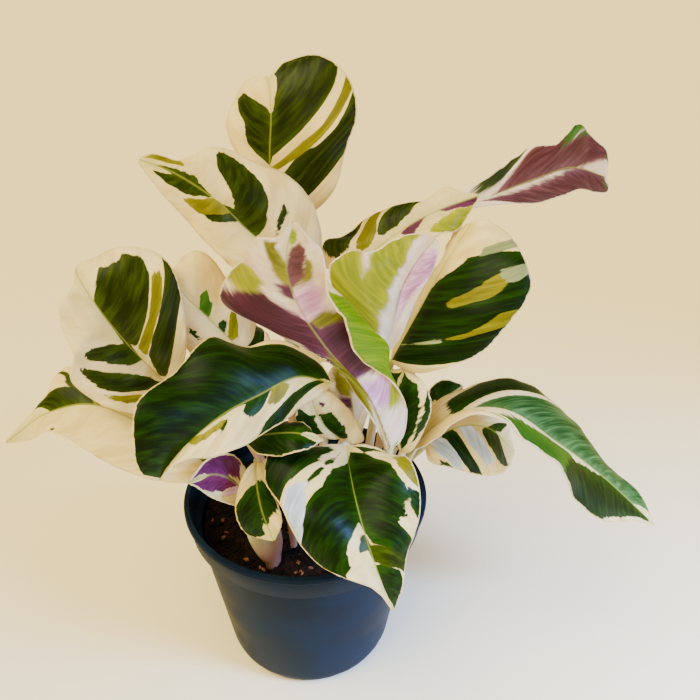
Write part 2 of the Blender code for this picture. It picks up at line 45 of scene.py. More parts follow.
def srgb(text):
    parts = [int(text[i:i + 2], 16) / 255 for i in (1, 3, 5)]
    return [c / 12.92 if c <= 0.04045 else ((c + 0.055) / 1.055) ** 2.4 for c in parts] + [1.0]


def fill(tree, node, links):
    for key, value in links.items():
        if isinstance(value, bpy.types.NodeSocket):
            tree.links.new(value, node.inputs[key])
        else:
            node.inputs[key].default_value = value


def addNode(tree, kind, links, output=0, **settings):
    # links are the node's inputs: a value or another node's socket; settings are its own fields
    node = tree.nodes.new(kind)
    for key, value in settings.items():
        setattr(node, key, value)
    fill(tree, node, links)
    return node.outputs[output] if len(node.outputs) else node


def grain(tree, place, stretch, detail=3.0, roughness=0.55):
    # noise whose stretch is the number of grains to a unit along each axis
    spread = addNode(tree, "ShaderNodeMapping", {"Vector": place, "Scale": stretch})
    return addNode(tree, "ShaderNodeTexNoise", {"Vector": spread, "Scale": 1.0, "Detail": detail,
                                                "Roughness": roughness})


def addUp(tree, parts, curve="SMOOTHSTEP"):
    # each part is a socket, or (socket, low, high, least, most), which turns low to high into
    # least to most
    total = None
    for part in parts:
        if isinstance(part, tuple):
            part = addNode(tree, "ShaderNodeMapRange", dict(enumerate(part)), interpolation_type=curve)
        if total is not None:
            part = addNode(tree, "ShaderNodeMath", {0: total, 1: part}, operation="ADD")
        total = part
    return total


def paint(tree, ground, coats):
    # lays coats of colour over the ground in turn, each as far as its cover says
    colour = srgb(ground)
    for coat, cover in coats:
        over = srgb(coat) if isinstance(coat, str) else coat
        links = {0: addUp(tree, [cover]), 6: colour, 7: over}
        colour = addNode(tree, "ShaderNodeMix", links, 2, data_type="RGBA")
    return colour


def newMaterial(name):
    material = bpy.data.materials.new(name)
    material.use_nodes = True
    return material, material.node_tree


def dress(tree, colour, height, strength, lift, inputs):
    # gives the shader its colour, its settings and a relief that is lift metres high
    relief = addNode(tree, "ShaderNodeBump", {"Height": height, "Strength": strength, "Distance": lift})
    links = {"Base Color": colour, "Normal": relief, **inputs}
    fill(tree, tree.nodes["Principled BSDF"], links)


# Leaf tissue: a living blade, waxy and smooth above, matt and faintly downy below.
# Each blade carries its own marks as distances in millimetres, feathered along the veins.
leafTones = {
    "dark": ("#061600", "#1E4202"), "olive": ("#161F00", "#3C4E02"), "lime": ("#5C5800", "#8A8602"),
    "pale": ("#66723E", "#98A26A"), "plum": ("#3A141E", "#643248"), "mauve": ("#46201C", "#6E4240"),
    # the saturated yellow-green is a green tone; on undersides it is painted light, the glow of light
    # shining through the blade from behind
    "violet": ("#46142E", "#722E56"), "lilac": ("#B0708E", "#E8BEC6"), "young": ("#748000", "#B0AC00"),
    # the bluish white is pale tissue with a painted highlight: the sheen of the cool window light on the wax
    "fresh": ("#4E7600", "#96AA00"), "moss": ("#173A04", "#417010"), "paleSheen": ("#A0B0AC", "#DCE6EA"),
    # the light sage is dark green painted lighter for the waxy sheen on it: a painted highlight
    "sageSheen": ("#183A0C", "#58803E"),
}
faceLook = {
    "upper": {"name": "upperLeafCuticle", "ground": "#F3DF96", "shade": "#D8C072", "near": "#C4BE64",
              "rough": 0.36, "sheen": 0.0, "edge": 0.25, "fine": 1.1, "broad": 0.9, "specular": 0.1},
    "lower": {"name": "lowerLeafTissue", "ground": "#F0E0BE", "shade": "#DABE9C", "near": "#C6B670",
              "rough": 0.5, "sheen": 0.05, "edge": 1.3, "fine": 1.6, "broad": 2.0, "specular": 0.14},
}
veinLook = {
    # grains to 100 mm along the rib, to the half blade, and between blades; then the noise's detail
    "streak": ((46.0, 2.2, 1.0), 3.0),      # teeth and streaks 2 mm across the veins
    "coarse": ((13.0, 1.6, 1.0), 2.0),      # clouds 8 mm across
    "thread": ((165.0, 5.0, 1.0), 2.0),     # parallel veins 0.6 mm apart, coarser than real ones to show
    "ribColour": "#8F9436", "lift": 0.00011,
}


def leafMaterial(face):
    # mesophyll under a thin wax coat: light sinks in a little, and marks end in fine teeth
    material, tree = newMaterial(face["name"])
    place = addNode(tree, "ShaderNodeAttribute", {}, "Vector", attribute_name="leafPlace")
    rib = addNode(tree, "ShaderNodeAttribute", {}, "Fac", attribute_name="ribDistance")
    edge = addNode(tree, "ShaderNodeAttribute", {}, "Fac", attribute_name="marginDistance")
    streak, coarse, thread = [grain(tree, place, *veinLook[name]) for name in ("streak", "coarse", "thread")]
    fine, broad, soft = face["fine"] / 2, face["broad"] / 2, face["edge"]
    reach = addUp(tree, [edge, (streak, 0.3, 0.7, -0.2, 0.25)])
    inside = addUp(tree, [(reach, 0.35, 0.75, 0.0, 1.0)])
    teeth = addUp(tree, [(streak, 0.25, 0.75, -fine, fine), (coarse, 0.25, 0.75, -broad, broad)], "LINEAR")
    glow = addUp(tree, [(streak, 0.4, 0.75, 0.0, 0.6), (rib, 0.3, 6.0, 0.3, 0.0),
                        (coarse, 0.45, 0.75, 0.0, 0.25)])
    coats = [(face["shade"], (coarse, 0.3, 0.75, 0.0, 1.0)), (face["near"], (rib, 0.3, 6.0, 0.45, 0.0)),
             (face["near"], (thread, 0.45, 0.65, 0.0, 0.14))]
    for tone, (deep, light) in leafTones.items():
        field = addNode(tree, "ShaderNodeAttribute", {}, "Fac", attribute_name=tone + "Field")
        bright = addUp(tree, [glow, (field, 0.5, 4.0, 0.25, 0.0)])
        mark = addUp(tree, [(addUp(tree, [field, teeth]), -soft, soft, 0.0, 1.0)])
        cover = addNode(tree, "ShaderNodeMath", {0: mark, 1: inside}, operation="MULTIPLY")
        coats.append((paint(tree, deep, [(light, bright)]), cover))
    coats.append((veinLook["ribColour"], (rib, 0.1, 0.7, 0.6, 0.0)))
    ridges = addNode(tree, "ShaderNodeMath", {0: streak, 1: 0.8}, operation="MULTIPLY")
    dress(tree, paint(tree, face["ground"], coats), addUp(tree, [thread, ridges]), 0.5, veinLook["lift"], {
        "Roughness": face["rough"], "IOR": 1.42, "Specular IOR Level": face["specular"],
        "Sheen Weight": face["sheen"], "Subsurface Weight": 0.1, "Subsurface Radius": (0.9, 1.0, 0.4),
        "Subsurface Scale": 0.001})
    return material


def stalkMaterial():
    # leaf stalk: a fleshy petiole, satin, blushed red low down and cream green above;
    # its fibres are 1 mm wide and 25 mm long, its clouds 11 mm wide
    material, tree = newMaterial("petioleSkin")
    height = addNode(tree, "ShaderNodeAttribute", {}, "Fac", attribute_name="stalkRise")
    spot = addNode(tree, "ShaderNodeTexCoord", {}, "Object")
    fibre = grain(tree, spot, (900.0, 900.0, 40.0))
    cloud = grain(tree, spot, (90.0, 90.0, 30.0), 2.0)
    faint = addNode(tree, "ShaderNodeMath", {0: fibre, 1: 0.4}, operation="MULTIPLY")
    colour = paint(tree, "#E6DDBE", [("#B9B46A", (cloud, 0.35, 0.65, 0.0, 1.0)),
                                     ("#B86E64", (height, 0.7, 0.1, 0.0, 0.85)), ("#8F8A48", faint)])
    dress(tree, colour, fibre, 0.4, 0.00012, {"Roughness": 0.42, "Subsurface Weight": 0.15,
                                              "Subsurface Scale": 0.001})
    return material


leafMaterials = [leafMaterial(faceLook["upper"]), leafMaterial(faceLook["lower"]), stalkMaterial()]
upperSlot, lowerSlot, stalkSlot = range(3)
print("calathea: leaf finishes ready")


# Where the photo was taken from, fitted to the pot's rim and foot: millimetres, degrees, pixels.
view = {"place": (22.0, -291.0, 346.0), "pitchDown": 30.4, "focalPixels": 758.0, "imagePixels": 700.0}

# The leaves, picked on the photo. The rails (rib, left, right and a fold) are pixels across
# and down with the judged depth in millimetres; the marks are pixels on the face that shows. Where a
# stalk stands in the soil and bends is in millimetres on the plant. bladeMarks, for the hidden face of
# the rolled leaf, are shares along the rib and from rib to margin.
leaves = {
    "leaf_top": {
        "hole": (4, 24), "stalk": [(2, 24, 120), (-6, 22, 180)],
        "rib": [(286, 226, 27), (272, 172, 30), (272, 112, 34), (268, 76, 42)],
        "left": [(262, 212, 30), (244, 180, 35), (231, 146, 42), (229, 108, 50), (250, 80, 50)],
        "right": [(312, 214, 27), (336, 186, 25), (346, 150, 25), (358, 112, 29), (345, 74, 38),
            (316, 56, 44), (286, 61, 46)],
        "arch": (0.1, 0.1), "waves": (4, 1.2, 0.5), "stem": 1.6,
        "face": "upper", "marks": [
            ("olive", "right", [(272, 158), (277, 130), (275, 100), (274, 75), (286, 61), (316, 56),
                (334, 70), (326, 98), (305, 125), (284, 148)]),
            ("lime", "right", [(272, 170), (302, 143), (322, 125), (334, 106), (341, 72), (346, 92),
                (342, 112), (318, 140), (286, 166)]),
            ("olive", "right", [(282, 176), (300, 155), (320, 141), (335, 128), (344, 112), (348, 84),
                (356, 105), (355, 122), (343, 142), (335, 170), (308, 197), (300, 204), (288, 186)]),
            ("olive", "left", [(268, 165), (247, 142), (245, 122), (238, 100), (246, 92), (266, 106),
                (268, 120), (266, 140), (270, 155)]),
        ],
    },
    "leaf_upper_left": {
        "hole": (-4, 10), "stalk": [(-6, 10, 130), (-6, 10, 180)],
        "rib": [(286, 262, 2), (252, 234, 4), (216, 200, 4), (170, 172, 4), (136, 158, 4)],
        "left": [(262, 286, -8), (230, 266, -6), (208, 244, -3), (186, 220, 0), (160, 190, 2),
            (143, 168, 3)],
        "right": [(316, 262, 10), (323, 245, 14), (312, 205, 18), (288, 176, 18), (252, 160, 18),
            (214, 149, 16), (180, 160, 10), (152, 153, 7)],
        "arch": (0.1, 0.1), "waves": (3, 1.2, 0), "stem": 1.6,
        "face": "upper", "marks": [
            ("lime", "right", [(144, 158), (160, 156), (184, 167), (160, 161)]),
            ("olive", "right", [(149, 167), (165, 166), (196, 177), (218, 199), (190, 186), (165, 174)]),
            ("olive", "left", [(150, 169), (170, 174), (196, 187), (218, 199), (188, 195), (165, 182)]),
            ("lime", "left", [(181, 197), (218, 203), (232, 213), (200, 214)]),
            ("olive", "left", [(201, 213), (212, 205), (226, 208), (241, 225), (210, 221)]),
            ("olive", "right", [(214, 151), (240, 163), (262, 182), (268, 200), (264, 225), (256, 240),
                (244, 224), (232, 195), (218, 170)]),
            ("olive", "right", [(282, 203), (291, 209), (286, 218), (274, 238), (276, 222)]),
        ],
    },
    "leaf_rolled_centre": {
        "hole": (36, -4), "stalk": [(37, -6, 100)],
        "rib": [(388, 450, -10), (367, 395, -18), (326, 347, -26), (297, 302, -34), (286, 262, -42),
            (292, 218, -50)],
        "left": [(402, 430, -8), (405, 408, -8), (393, 385, -12), (372, 368, -20), (352, 348, -28),
            (343, 317, -36), (329, 292, -42), (322, 252, -46), (308, 236, -50)],
        "right": [(366, 410, -18), (330, 360, -24), (303, 342, -26), (262, 325, -24), (222, 300, -24),
            (228, 274, -34), (246, 258, -42), (256, 238, -48), (278, 237, -50)],
        "foldLeft": [(400, 440, -8), (402, 415, -8), (388, 372, -12), (386, 345, -14), (372, 330, -18),
            (345, 300, -28), (320, 275, -38), (308, 255, -43), (300, 238, -48)],
        "arch": (0.1, -0.12), "waves": (4, 1, 0), "stem": 2,
        "bladeMarks": {"upper": [
            ("fresh", "left", [(-0.5, 0.52), (0.2, 0.5), (0.6, 0.56), (0.66, 1), (-0.5, 1)]),
        ]},
        "face": "lower", "marks": [
            # the yellow-green corner of this underside is painted light shining through the blade from
            # behind
            ("young", "right", [(217, 302), (224, 282), (236, 268), (252, 268), (264, 282), (258, 291),
                (240, 288), (228, 298)]),
            ("plum", "right", [(220, 304), (232, 290), (248, 285), (262, 291), (280, 304), (300, 319),
                (312, 336), (331, 361), (316, 354), (298, 342), (276, 336), (254, 324), (236, 314)]),
            ("lime", "right", [(264, 240), (276, 242), (286, 266), (292, 287), (283, 281), (270, 262)]),
            ("fresh", "left", [(290, 222), (297, 230), (297, 240), (292, 244)]),
            ("mauve", "left", [(291, 246), (299, 240), (306, 250), (304, 272), (300, 288), (294, 276)]),
            ("lime", "left", [(305, 252), (311, 262), (309, 282), (303, 294), (300, 286), (304, 268)]),
            ("plum", "right", [(278, 284), (286, 283), (297, 302), (293, 306), (284, 297)]),
            ("lilac", "right", [(266, 290), (284, 302), (303, 318), (298, 318), (280, 306)]),
            ("lilac", "left", [(301, 292), (312, 280), (323, 288), (323, 308), (312, 322), (303, 308)]),
            ("lime", "left", [(317, 318), (320, 308), (336, 309), (344, 320), (334, 326)]),
            ("plum", "left", [(318, 324), (330, 322), (346, 322), (352, 345), (364, 362), (368, 374),
                (352, 374), (340, 360), (326, 342)]),
            ("lilac", "left", [(352, 378), (366, 364), (388, 366), (391, 386), (388, 404), (372, 397),
                (358, 386)]),
            ("young", "left", [(389, 382), (396, 386), (395, 408), (386, 408)]),
            ("lime", "right", [(318, 345), (335, 358), (352, 378), (366, 398), (374, 420), (362, 410),
                (345, 385), (328, 362)]),
        ],
    },
    "leaf_young_green": {
        "hole": (29, 8), "stalk": [(32, 8, 120)],
        "rib": [(386, 356, 4), (392, 320, 5), (404, 282, 7), (420, 256, 9), (437, 238, 12)],
        "left": [(396, 342, 4), (408, 318, 5), (420, 294, 6), (433, 268, 8), (438, 246, 11)],
        "right": [(368, 350, -2), (348, 318, -8), (329, 268, -6), (351, 252, -2), (372, 252, 3),
            (392, 239, 7), (418, 234, 11)],
        "arch": (-0.1, -0.15), "waves": (3, 1, 1), "stem": 1.6,
        "face": "lower", "marks": [
            # both yellow-green patches of this underside are painted light shining through the blade from
            # behind
            ("young", "right", [(326, 270), (335, 260), (350, 250), (367, 252), (362, 268), (365, 285),
                (371, 300), (378, 322), (380, 338), (366, 337), (350, 318), (336, 300), (328, 285)]),
            ("young", "right", [(361, 292), (367, 268), (380, 252), (395, 242), (412, 235), (420, 236),
                (405, 262), (393, 285), (386, 302), (378, 322), (368, 312)]),
            ("lilac", "left", [(428, 243), (437, 250), (431, 270), (415, 291), (401, 315), (396, 324),
                (400, 300), (410, 272)]),
        ],
    },
    "leaf_right_broad": {
        "hole": (34, 18), "stalk": [(38, 19, 120), (39, 18, 148)],
        "rib": [(391, 362, 8), (415, 318, 14), (446, 265, 22), (473, 222, 30)],
        "left": [(396, 345, 14), (404, 318, 18), (425, 284, 24), (446, 248, 30), (462, 226, 33)],
        "right": [(412, 372, -2), (440, 370, -8), (480, 352, -10), (510, 324, -8), (531, 284, -2),
            (524, 256, 8), (506, 232, 20), (487, 222, 28)],
        "arch": (0.1, 0.16), "waves": (4, 1.5, 1), "stem": 1.6,
        "face": "upper", "marks": [
            ("dark", "right", [(392, 360), (400, 340), (420, 302), (445, 276), (470, 259), (498, 250),
                (510, 251), (523, 264), (530, 281), (527, 297), (508, 320), (504, 334), (486, 346),
                (460, 356), (428, 365), (405, 363)]),
            ("lime", "right", [(446, 302), (470, 291), (492, 279), (506, 270), (511, 277), (496, 296),
                (480, 303), (452, 309)]),
            ("pale", "right", [(500, 272), (512, 268), (521, 273), (517, 281), (507, 279)]),
            ("lime", "right", [(438, 341), (455, 336), (478, 328), (500, 314), (511, 312), (500, 324),
                (480, 334), (460, 339)]),
            ("pale", "right", [(398, 344), (420, 342), (440, 340), (440, 343), (420, 345)]),
            ("pale", "right", [(480, 257), (485, 248), (508, 240), (511, 249), (500, 252)]),
        ],
    },
    "leaf_back_long": {
        "hole": (26, 24), "stalk": [(22, 24, 130), (19, 22, 190)],
        "rib": [(346, 276, 22), (388, 240, 28), (430, 214, 34), (481, 196, 40)],
        "left": [(325, 266, 30), (323, 242, 34), (346, 236, 36), (372, 216, 38), (400, 204, 40),
            (424, 201, 40), (445, 187, 42), (463, 192, 41)],
        "right": [(372, 276, 18), (395, 262, 18), (420, 250, 22), (440, 236, 26), (456, 230, 30),
            (470, 214, 36)],
        "arch": (0.1, 0.1), "waves": (3, 1, 1), "stem": 1.4,
        "face": "upper", "marks": [
            ("olive", "left", [(320, 238), (345, 236), (352, 230), (362, 224), (352, 245), (340, 259),
                (322, 266)]),
            ("lime", "left", [(358, 252), (359, 238), (368, 220), (380, 212), (377, 232), (370, 247)]),
            ("olive", "left", [(378, 238), (381, 220), (394, 203), (412, 198), (426, 200), (409, 214),
                (396, 228)]),
            ("plum", "right", [(402, 234), (412, 220), (426, 209), (433, 213), (420, 226), (410, 236)]),
            ("plum", "right", [(434, 212), (440, 203), (456, 197), (480, 192), (480, 199), (460, 207),
                (446, 211)]),
            ("young", "right", [(430, 233), (440, 221), (458, 208), (480, 198), (472, 212), (460, 224),
                (446, 233)]),
        ],
    },
    "leaf_far_right": {
        "hole": (38, 27), "stalk": [(46, 26, 120), (62, 34, 180)],
        "rib": [(464, 210, 48), (497, 194, 54), (537, 178, 60), (570, 168, 66), (607, 178, 72)],
        "left": [(482, 206, 48), (512, 204, 54), (540, 203, 58), (560, 197, 62), (580, 189, 66),
            (598, 193, 70), (606, 192, 72)],
        "right": [(464, 192, 52), (490, 176, 56), (518, 156, 60), (532, 147, 62), (555, 143, 64),
            (579, 124, 68), (592, 136, 72), (606, 152, 74)],
        "arch": (-0.1, -0.12), "waves": (3, 1, 0), "stem": 1.4,
        "face": "lower", "marks": [
            ("mauve", "right", [(484, 199), (500, 188), (512, 174), (521, 156), (532, 146), (548, 142),
                (562, 143), (574, 138), (590, 136), (606, 146), (614, 168), (575, 171), (545, 179)]),
            ("mauve", "left", [(480, 203), (520, 190), (560, 175), (590, 169), (612, 170), (614, 190),
                (603, 199), (590, 194), (570, 192), (556, 200), (538, 208), (512, 208)]),
            ("olive", "right", [(458, 190), (476, 174), (497, 161), (518, 148), (517, 163), (501, 180),
                (487, 191), (474, 196)]),
            ("moss", "right", [(551, 146), (564, 131), (577, 118), (581, 130), (572, 140), (562, 145)]),
            ("moss", "right", [(578, 122), (598, 133), (592, 138), (580, 136)]),
            ("moss", "right", [(599, 143), (612, 146), (614, 164), (606, 158)]),
            ("moss", "left", [(605, 176), (614, 170), (614, 199), (604, 199)]),
        ],
    },
    "leaf_left_broad": {
        "hole": (-18, 4), "stalk": [(-22, 4, 110), (-40, 0, 145)],
        "rib": [(168, 386, -10), (131, 347, -16), (100, 311, -18), (84, 285, -16), (76, 268, -10)],
        "left": [(160, 415, -22), (130, 413, -28), (101, 404, -30), (72, 382, -30), (72, 352, -30),
            (60, 325, -26), (60, 303, -22), (74, 288, -16)],
        "right": [(180, 372, -12), (187, 345, -14), (184, 310, -12), (172, 268, -6), (150, 251, -2),
            (120, 248, -2), (95, 256, -4)],
        "arch": (0.06, 0.14), "waves": (4, 1.4, 0), "stem": 1.6,
        "face": "upper", "marks": [
            ("olive", "right", [(100, 311), (94, 288), (98, 268), (112, 266), (124, 254), (140, 258),
                (148, 272), (150, 290), (146, 318), (138, 346), (126, 334)]),
            ("olive", "left", [(104, 314), (96, 306), (88, 268), (95, 264), (96, 285), (100, 305)]),
            ("lime", "right", [(138, 348), (148, 318), (152, 296), (150, 272), (161, 271), (160, 312),
                (147, 356)]),
            ("olive", "right", [(155, 257), (170, 261), (169, 276), (175, 300), (175, 332), (168, 374),
                (160, 375), (148, 355), (160, 314), (163, 288)]),
            ("olive", "left", [(82, 355), (90, 347), (110, 344), (130, 350), (143, 363), (130, 364),
                (98, 361)]),
            ("olive", "left", [(78, 365), (95, 370), (125, 374), (152, 378), (162, 383), (140, 392),
                (105, 391), (84, 377)]),
            ("lime", "left", [(104, 393), (125, 396), (142, 394), (142, 403), (125, 404)]),
        ],
    },
    "leaf_left_low": {
        "hole": (-30, -8), "stalk": [(-33, -9, 100)],
        "rib": [(222, 478, -22), (180, 446, -24), (134, 421, -24), (92, 405, -22), (50, 412, -18),
            (5, 444, -14)],
        "left": [(205, 482, -34), (165, 482, -38), (136, 475, -36), (90, 454, -30), (54, 431, -22),
            (28, 440, -16)],
        "right": [(200, 430, -10), (150, 395, -4), (100, 375, -2), (68, 369, -4), (46, 396, -12),
            (28, 417, -14)],
        "arch": (0.1, 0.12), "waves": (3, 1.2, 1), "stem": 1.6,
        "face": "upper", "marks": [
            ("olive", "right", [(30, 414), (42, 402), (68, 387), (82, 385), (94, 398), (99, 407),
                (70, 406), (52, 411)]),
            ("lime", "right", [(84, 388), (96, 397), (104, 408), (92, 405)]),
            ("olive", "right", [(64, 376), (72, 370), (79, 385), (66, 388)]),
            ("lime", "right", [(180, 446), (204, 456), (210, 466), (196, 462), (178, 449)]),
            ("olive", "left", [(52, 427), (57, 428), (56, 433), (52, 431)]),
        ],
    },
    "leaf_front_left": {
        "hole": (6, -6), "stalk": [(8, -4, 110), (12, -4, 150)],
        "rib": [(332, 384, -12), (297, 377, -22), (259, 395, -34), (223, 415, -44), (185, 446, -52),
            (157, 481, -56)],
        "left": [(316, 398, -20), (286, 419, -34), (262, 435, -44), (241, 447, -50), (214, 455, -56),
            (190, 459, -58), (166, 472, -58)],
        "right": [(315, 358, -8), (280, 342, -8), (245, 346, -14), (212, 337, -18), (176, 372, -34),
            (138, 404, -50), (133, 440, -58), (140, 470, -60)],
        "arch": (0.1, 0.14), "waves": (4, 1.6, 0.5), "stem": 1.8,
        "face": "upper", "marks": [
            ("dark", "right", [(328, 377), (297, 374), (262, 389), (225, 411), (185, 443), (160, 478),
                (140, 468), (136, 440), (141, 410), (176, 377), (196, 350), (214, 341), (245, 349),
                (278, 345), (316, 362)]),
            ("dark", "left", [(241, 416), (247, 404), (260, 395), (272, 391), (262, 407), (257, 415)]),
            ("lime", "left", [(266, 403), (271, 390), (290, 386), (284, 398), (276, 405)]),
            ("dark", "left", [(267, 420), (285, 401), (300, 388), (322, 380), (302, 397), (290, 413),
                (274, 423)]),
            ("lime", "left", [(180, 447), (205, 434), (228, 417), (222, 427), (195, 446)]),
            ("dark", "left", [(216, 428), (226, 418), (230, 420), (222, 432)]),
        ],
    },
    "leaf_front_hanging": {
        "hole": (20, -4), "stalk": [(20, -4, 100), (20, -8, 122)],
        "rib": [(346, 445, -14), (353, 486, -42), (362, 526, -60), (375, 564, -70), (394, 612, -73)],
        "left": [(367, 447, -19), (393, 454, -28), (411, 463, -38), (420, 486, -46), (420, 510, -54),
            (414, 535, -62), (407, 560, -68), (401, 590, -72)],
        "right": [(304, 447, -27), (268, 456, -36), (266, 480, -46), (277, 500, -54), (286, 519, -61),
            (304, 548, -68), (322, 567, -72), (350, 579, -75), (376, 590, -75)],
        "arch": (0.12, 0.14), "waves": (4, 1.6, 0), "stem": 1.8,
        "face": "upper", "marks": [
            ("dark", "right", [(262, 460), (300, 448), (341, 444), (334, 451), (316, 462), (300, 474),
                (287, 480), (280, 490), (272, 492), (264, 474)]),
            ("dark", "right", [(305, 487), (308, 477), (323, 465), (340, 453), (331, 464), (318, 476)]),
            # pale tissue painted bluish white: a painted highlight of the cool light's sheen
            ("paleSheen", "right", [(283, 493), (292, 484), (305, 481), (307, 500), (303, 530), (301, 546),
                (289, 524)]),
            ("dark", "right", [(347, 454), (352, 480), (356, 508), (354, 530), (347, 552), (352, 568),
                (346, 578), (320, 566), (304, 546), (303, 514), (309, 500), (321, 486), (336, 468)]),
            ("olive", "right", [(359, 534), (366, 536), (366, 553), (358, 553)]),
            ("dark", "left", [(350, 452), (366, 455), (390, 465), (400, 480), (413, 499), (405, 498),
                (402, 505), (411, 519), (400, 516), (399, 523), (415, 542), (412, 566), (374, 544),
                (362, 515), (353, 475)]),
            ("olive", "left", [(370, 545), (384, 548), (404, 554), (408, 570), (388, 566), (376, 560)]),
            ("dark", "left", [(378, 564), (400, 570), (404, 594), (396, 612), (384, 592)]),
            ("lime", "left", [(390, 457), (404, 460), (414, 478), (408, 478), (398, 467)]),
            ("dark", "left", [(409, 470), (418, 476), (426, 505), (418, 528), (412, 505), (409, 486)]),
            ("dark", "left", [(352, 447), (366, 446), (379, 452), (364, 454)]),
        ],
    },
    "leaf_front_small": {
        "hole": (-6, -14), "stalk": [(-8, -12, 110), (-14, -14, 136)],
        "rib": [(244, 440, -28), (268, 434, -34), (295, 434, -36), (324, 441, -34)],
        "left": [(250, 425, -22), (275, 420, -25), (300, 424, -28)],
        "right": [(256, 452, -36), (275, 456, -42), (296, 453, -44), (312, 446, -41)],
        "arch": (0.1, 0.1), "waves": (3, 1.2, 1), "stem": 1.3,
        "face": "upper", "marks": [
            ("dark", "left", [(243, 438), (250, 424), (304, 421), (322, 438), (295, 433), (268, 435)]),
            ("dark", "right", [(246, 441), (268, 436), (295, 434), (322, 441), (300, 449), (275, 456)]),
        ],
    },
    "leaf_centre_small": {
        "hole": (12, 2), "stalk": [(14, 2, 110)],
        "rib": [(344, 438, -5), (329, 428, -12), (317, 414, -17), (311, 399, -18)],
        "left": [(324, 438, -12), (300, 429, -20), (294, 414, -22), (301, 402, -20)],
        "right": [(362, 442, -4), (354, 418, -9), (342, 402, -12), (328, 392, -15)],
        "arch": (0.12, 0.12), "waves": (3, 1, 0), "stem": 1.4,
        "face": "upper", "marks": [
            ("dark", "left", [(294, 417), (300, 408), (314, 415), (325, 434), (310, 434)]),
            ("dark", "right", [(320, 414), (330, 413), (342, 424), (348, 437), (338, 436)]),
            ("plum", "right", [(316, 402), (326, 401), (322, 408)]),
        ],
    },
    "leaf_behind_centre": {
        "hole": (41, -1), "stalk": [(43, -1, 100)],
        "rib": [(402, 452, -3), (399, 425, -3), (397, 395, -1), (404, 368, 3)],
        "left": [(392, 440, 2), (385, 415, 4), (384, 390, 5), (392, 372, 6)],
        "right": [(412, 450, -5), (424, 430, -8), (431, 405, -8), (423, 383, -3)],
        "arch": (0.12, 0.16), "waves": (2, 0.8, 0), "stem": 1.5,
        "face": "upper", "marks": [
            ("dark", "right", [(401, 450), (399, 420), (398, 395), (405, 371), (416, 384), (421, 402),
                (417, 425), (407, 444)]),
            ("dark", "left", [(400, 450), (398, 420), (396, 395), (403, 371), (386, 374), (380, 410),
                (390, 444)]),
            ("dark", "right", [(422, 382), (432, 394), (430, 412), (416, 438), (410, 446), (421, 418),
                (425, 402)]),
        ],
    },
    "leaf_right_arching": {
        "hole": (45, 4), "stalk": [(47, 4, 102)],
        "rib": [(411, 452, 3), (438, 425, 2), (470, 412, -2), (512, 414, -6), (552, 440, -6),
            (604, 478, -4), (657, 527, 0)],
        "left": [(419, 430, 8), (436, 403, 13), (461, 388, 15), (500, 380, 16), (541, 390, 16),
            (576, 428, 13), (614, 470, 8), (640, 495, 3)],
        "right": [(425, 446, -4), (461, 420, -16), (500, 420, -22), (526, 437, -24), (560, 470, -22),
            (578, 500, -20), (602, 521, -14), (636, 522, -6)],
        "arch": (0.12, 0.12), "waves": (4, 1.4, 0), "stem": 1.8,
        "face": "upper", "marks": [
            ("dark", "left", [(453, 412), (454, 398), (464, 386), (480, 378), (530, 376), (548, 386),
                (568, 402), (590, 430), (576, 424), (558, 404), (530, 392), (500, 391), (480, 400),
                (462, 411)]),
            # a dark band painted light sage: a painted highlight of the waxy sheen
            ("sageSheen", "left", [(468, 413), (484, 403), (510, 396), (545, 400), (563, 410), (584, 428),
                (604, 450), (630, 474), (654, 505), (656, 520), (630, 502), (600, 478), (572, 456),
                (545, 439), (520, 423), (500, 413)]),
            ("moss", "right", [(500, 415), (520, 420), (545, 437), (575, 458), (566, 462), (545, 452),
                (518, 430)]),
            ("dark", "right", [(540, 438), (560, 449), (590, 470), (620, 494), (650, 517), (648, 522),
                (606, 517), (584, 503), (571, 487), (561, 468), (548, 454)]),
            ("dark", "right", [(455, 414), (480, 413), (500, 415), (486, 415)]),
        ],
    },
    "leaf_right_under": {
        "hole": (45, 11), "stalk": [(48, 12, 98)],
        "rib": [(426, 446, 12), (456, 428, 20), (486, 428, 28), (515, 452, 34)],
        "left": [(440, 424, 22), (462, 412, 30), (488, 412, 36), (508, 426, 38)],
        "right": [(428, 460, 6), (452, 468, 8), (482, 476, 14), (506, 471, 26)],
        "arch": (0.1, 0.1), "waves": (2, 0.8, 0), "stem": 1.3,
        "face": "upper", "marks": [
            ("dark", "right", [(444, 434), (456, 432), (470, 452), (484, 472), (474, 474), (456, 455)]),
            # pale streak painted bluish white: a painted highlight of the cool light's sheen
            ("paleSheen", "right", [(458, 430), (474, 430), (494, 462), (486, 466), (470, 445)]),
            ("dark", "right", [(480, 431), (496, 434), (508, 465), (499, 462), (488, 446)]),
            ("dark", "left", [(486, 428), (505, 424), (500, 432)]),
            ("dark", "right", [(424, 455), (440, 458), (456, 465), (436, 464)]),
            # pale streak painted bluish white: a painted highlight of the cool light's sheen
            ("paleSheen", "right", [(432, 440), (446, 440), (462, 462), (455, 468), (440, 455)]),
        ],
    },
    "leaf_right_small": {
        "hole": (42, 18), "stalk": [(46, 18, 108)],
        "rib": [(428, 432, 14), (440, 404, 18), (463, 386, 24)],
        "left": [(425, 412, 22), (430, 390, 26), (445, 380, 27)],
        "right": [(448, 424, 10), (462, 405, 14)],
        "arch": (0.1, 0.1), "waves": (2, 0.6, 0), "stem": 1.2,
        "face": "upper", "marks": [
            ("dark", "left", [(429, 400), (434, 382), (462, 381), (462, 388), (446, 396)]),
            ("dark", "right", [(430, 418), (440, 404), (462, 388), (452, 404), (438, 422)]),
        ],
    },
    "leaf_left_pale": {
        "hole": (-14, 18), "stalk": [(-18, 18, 120), (-24, 12, 160)],
        "rib": [(242, 352, 0), (208, 317, 0), (184, 294, 0), (170, 272, 2)],
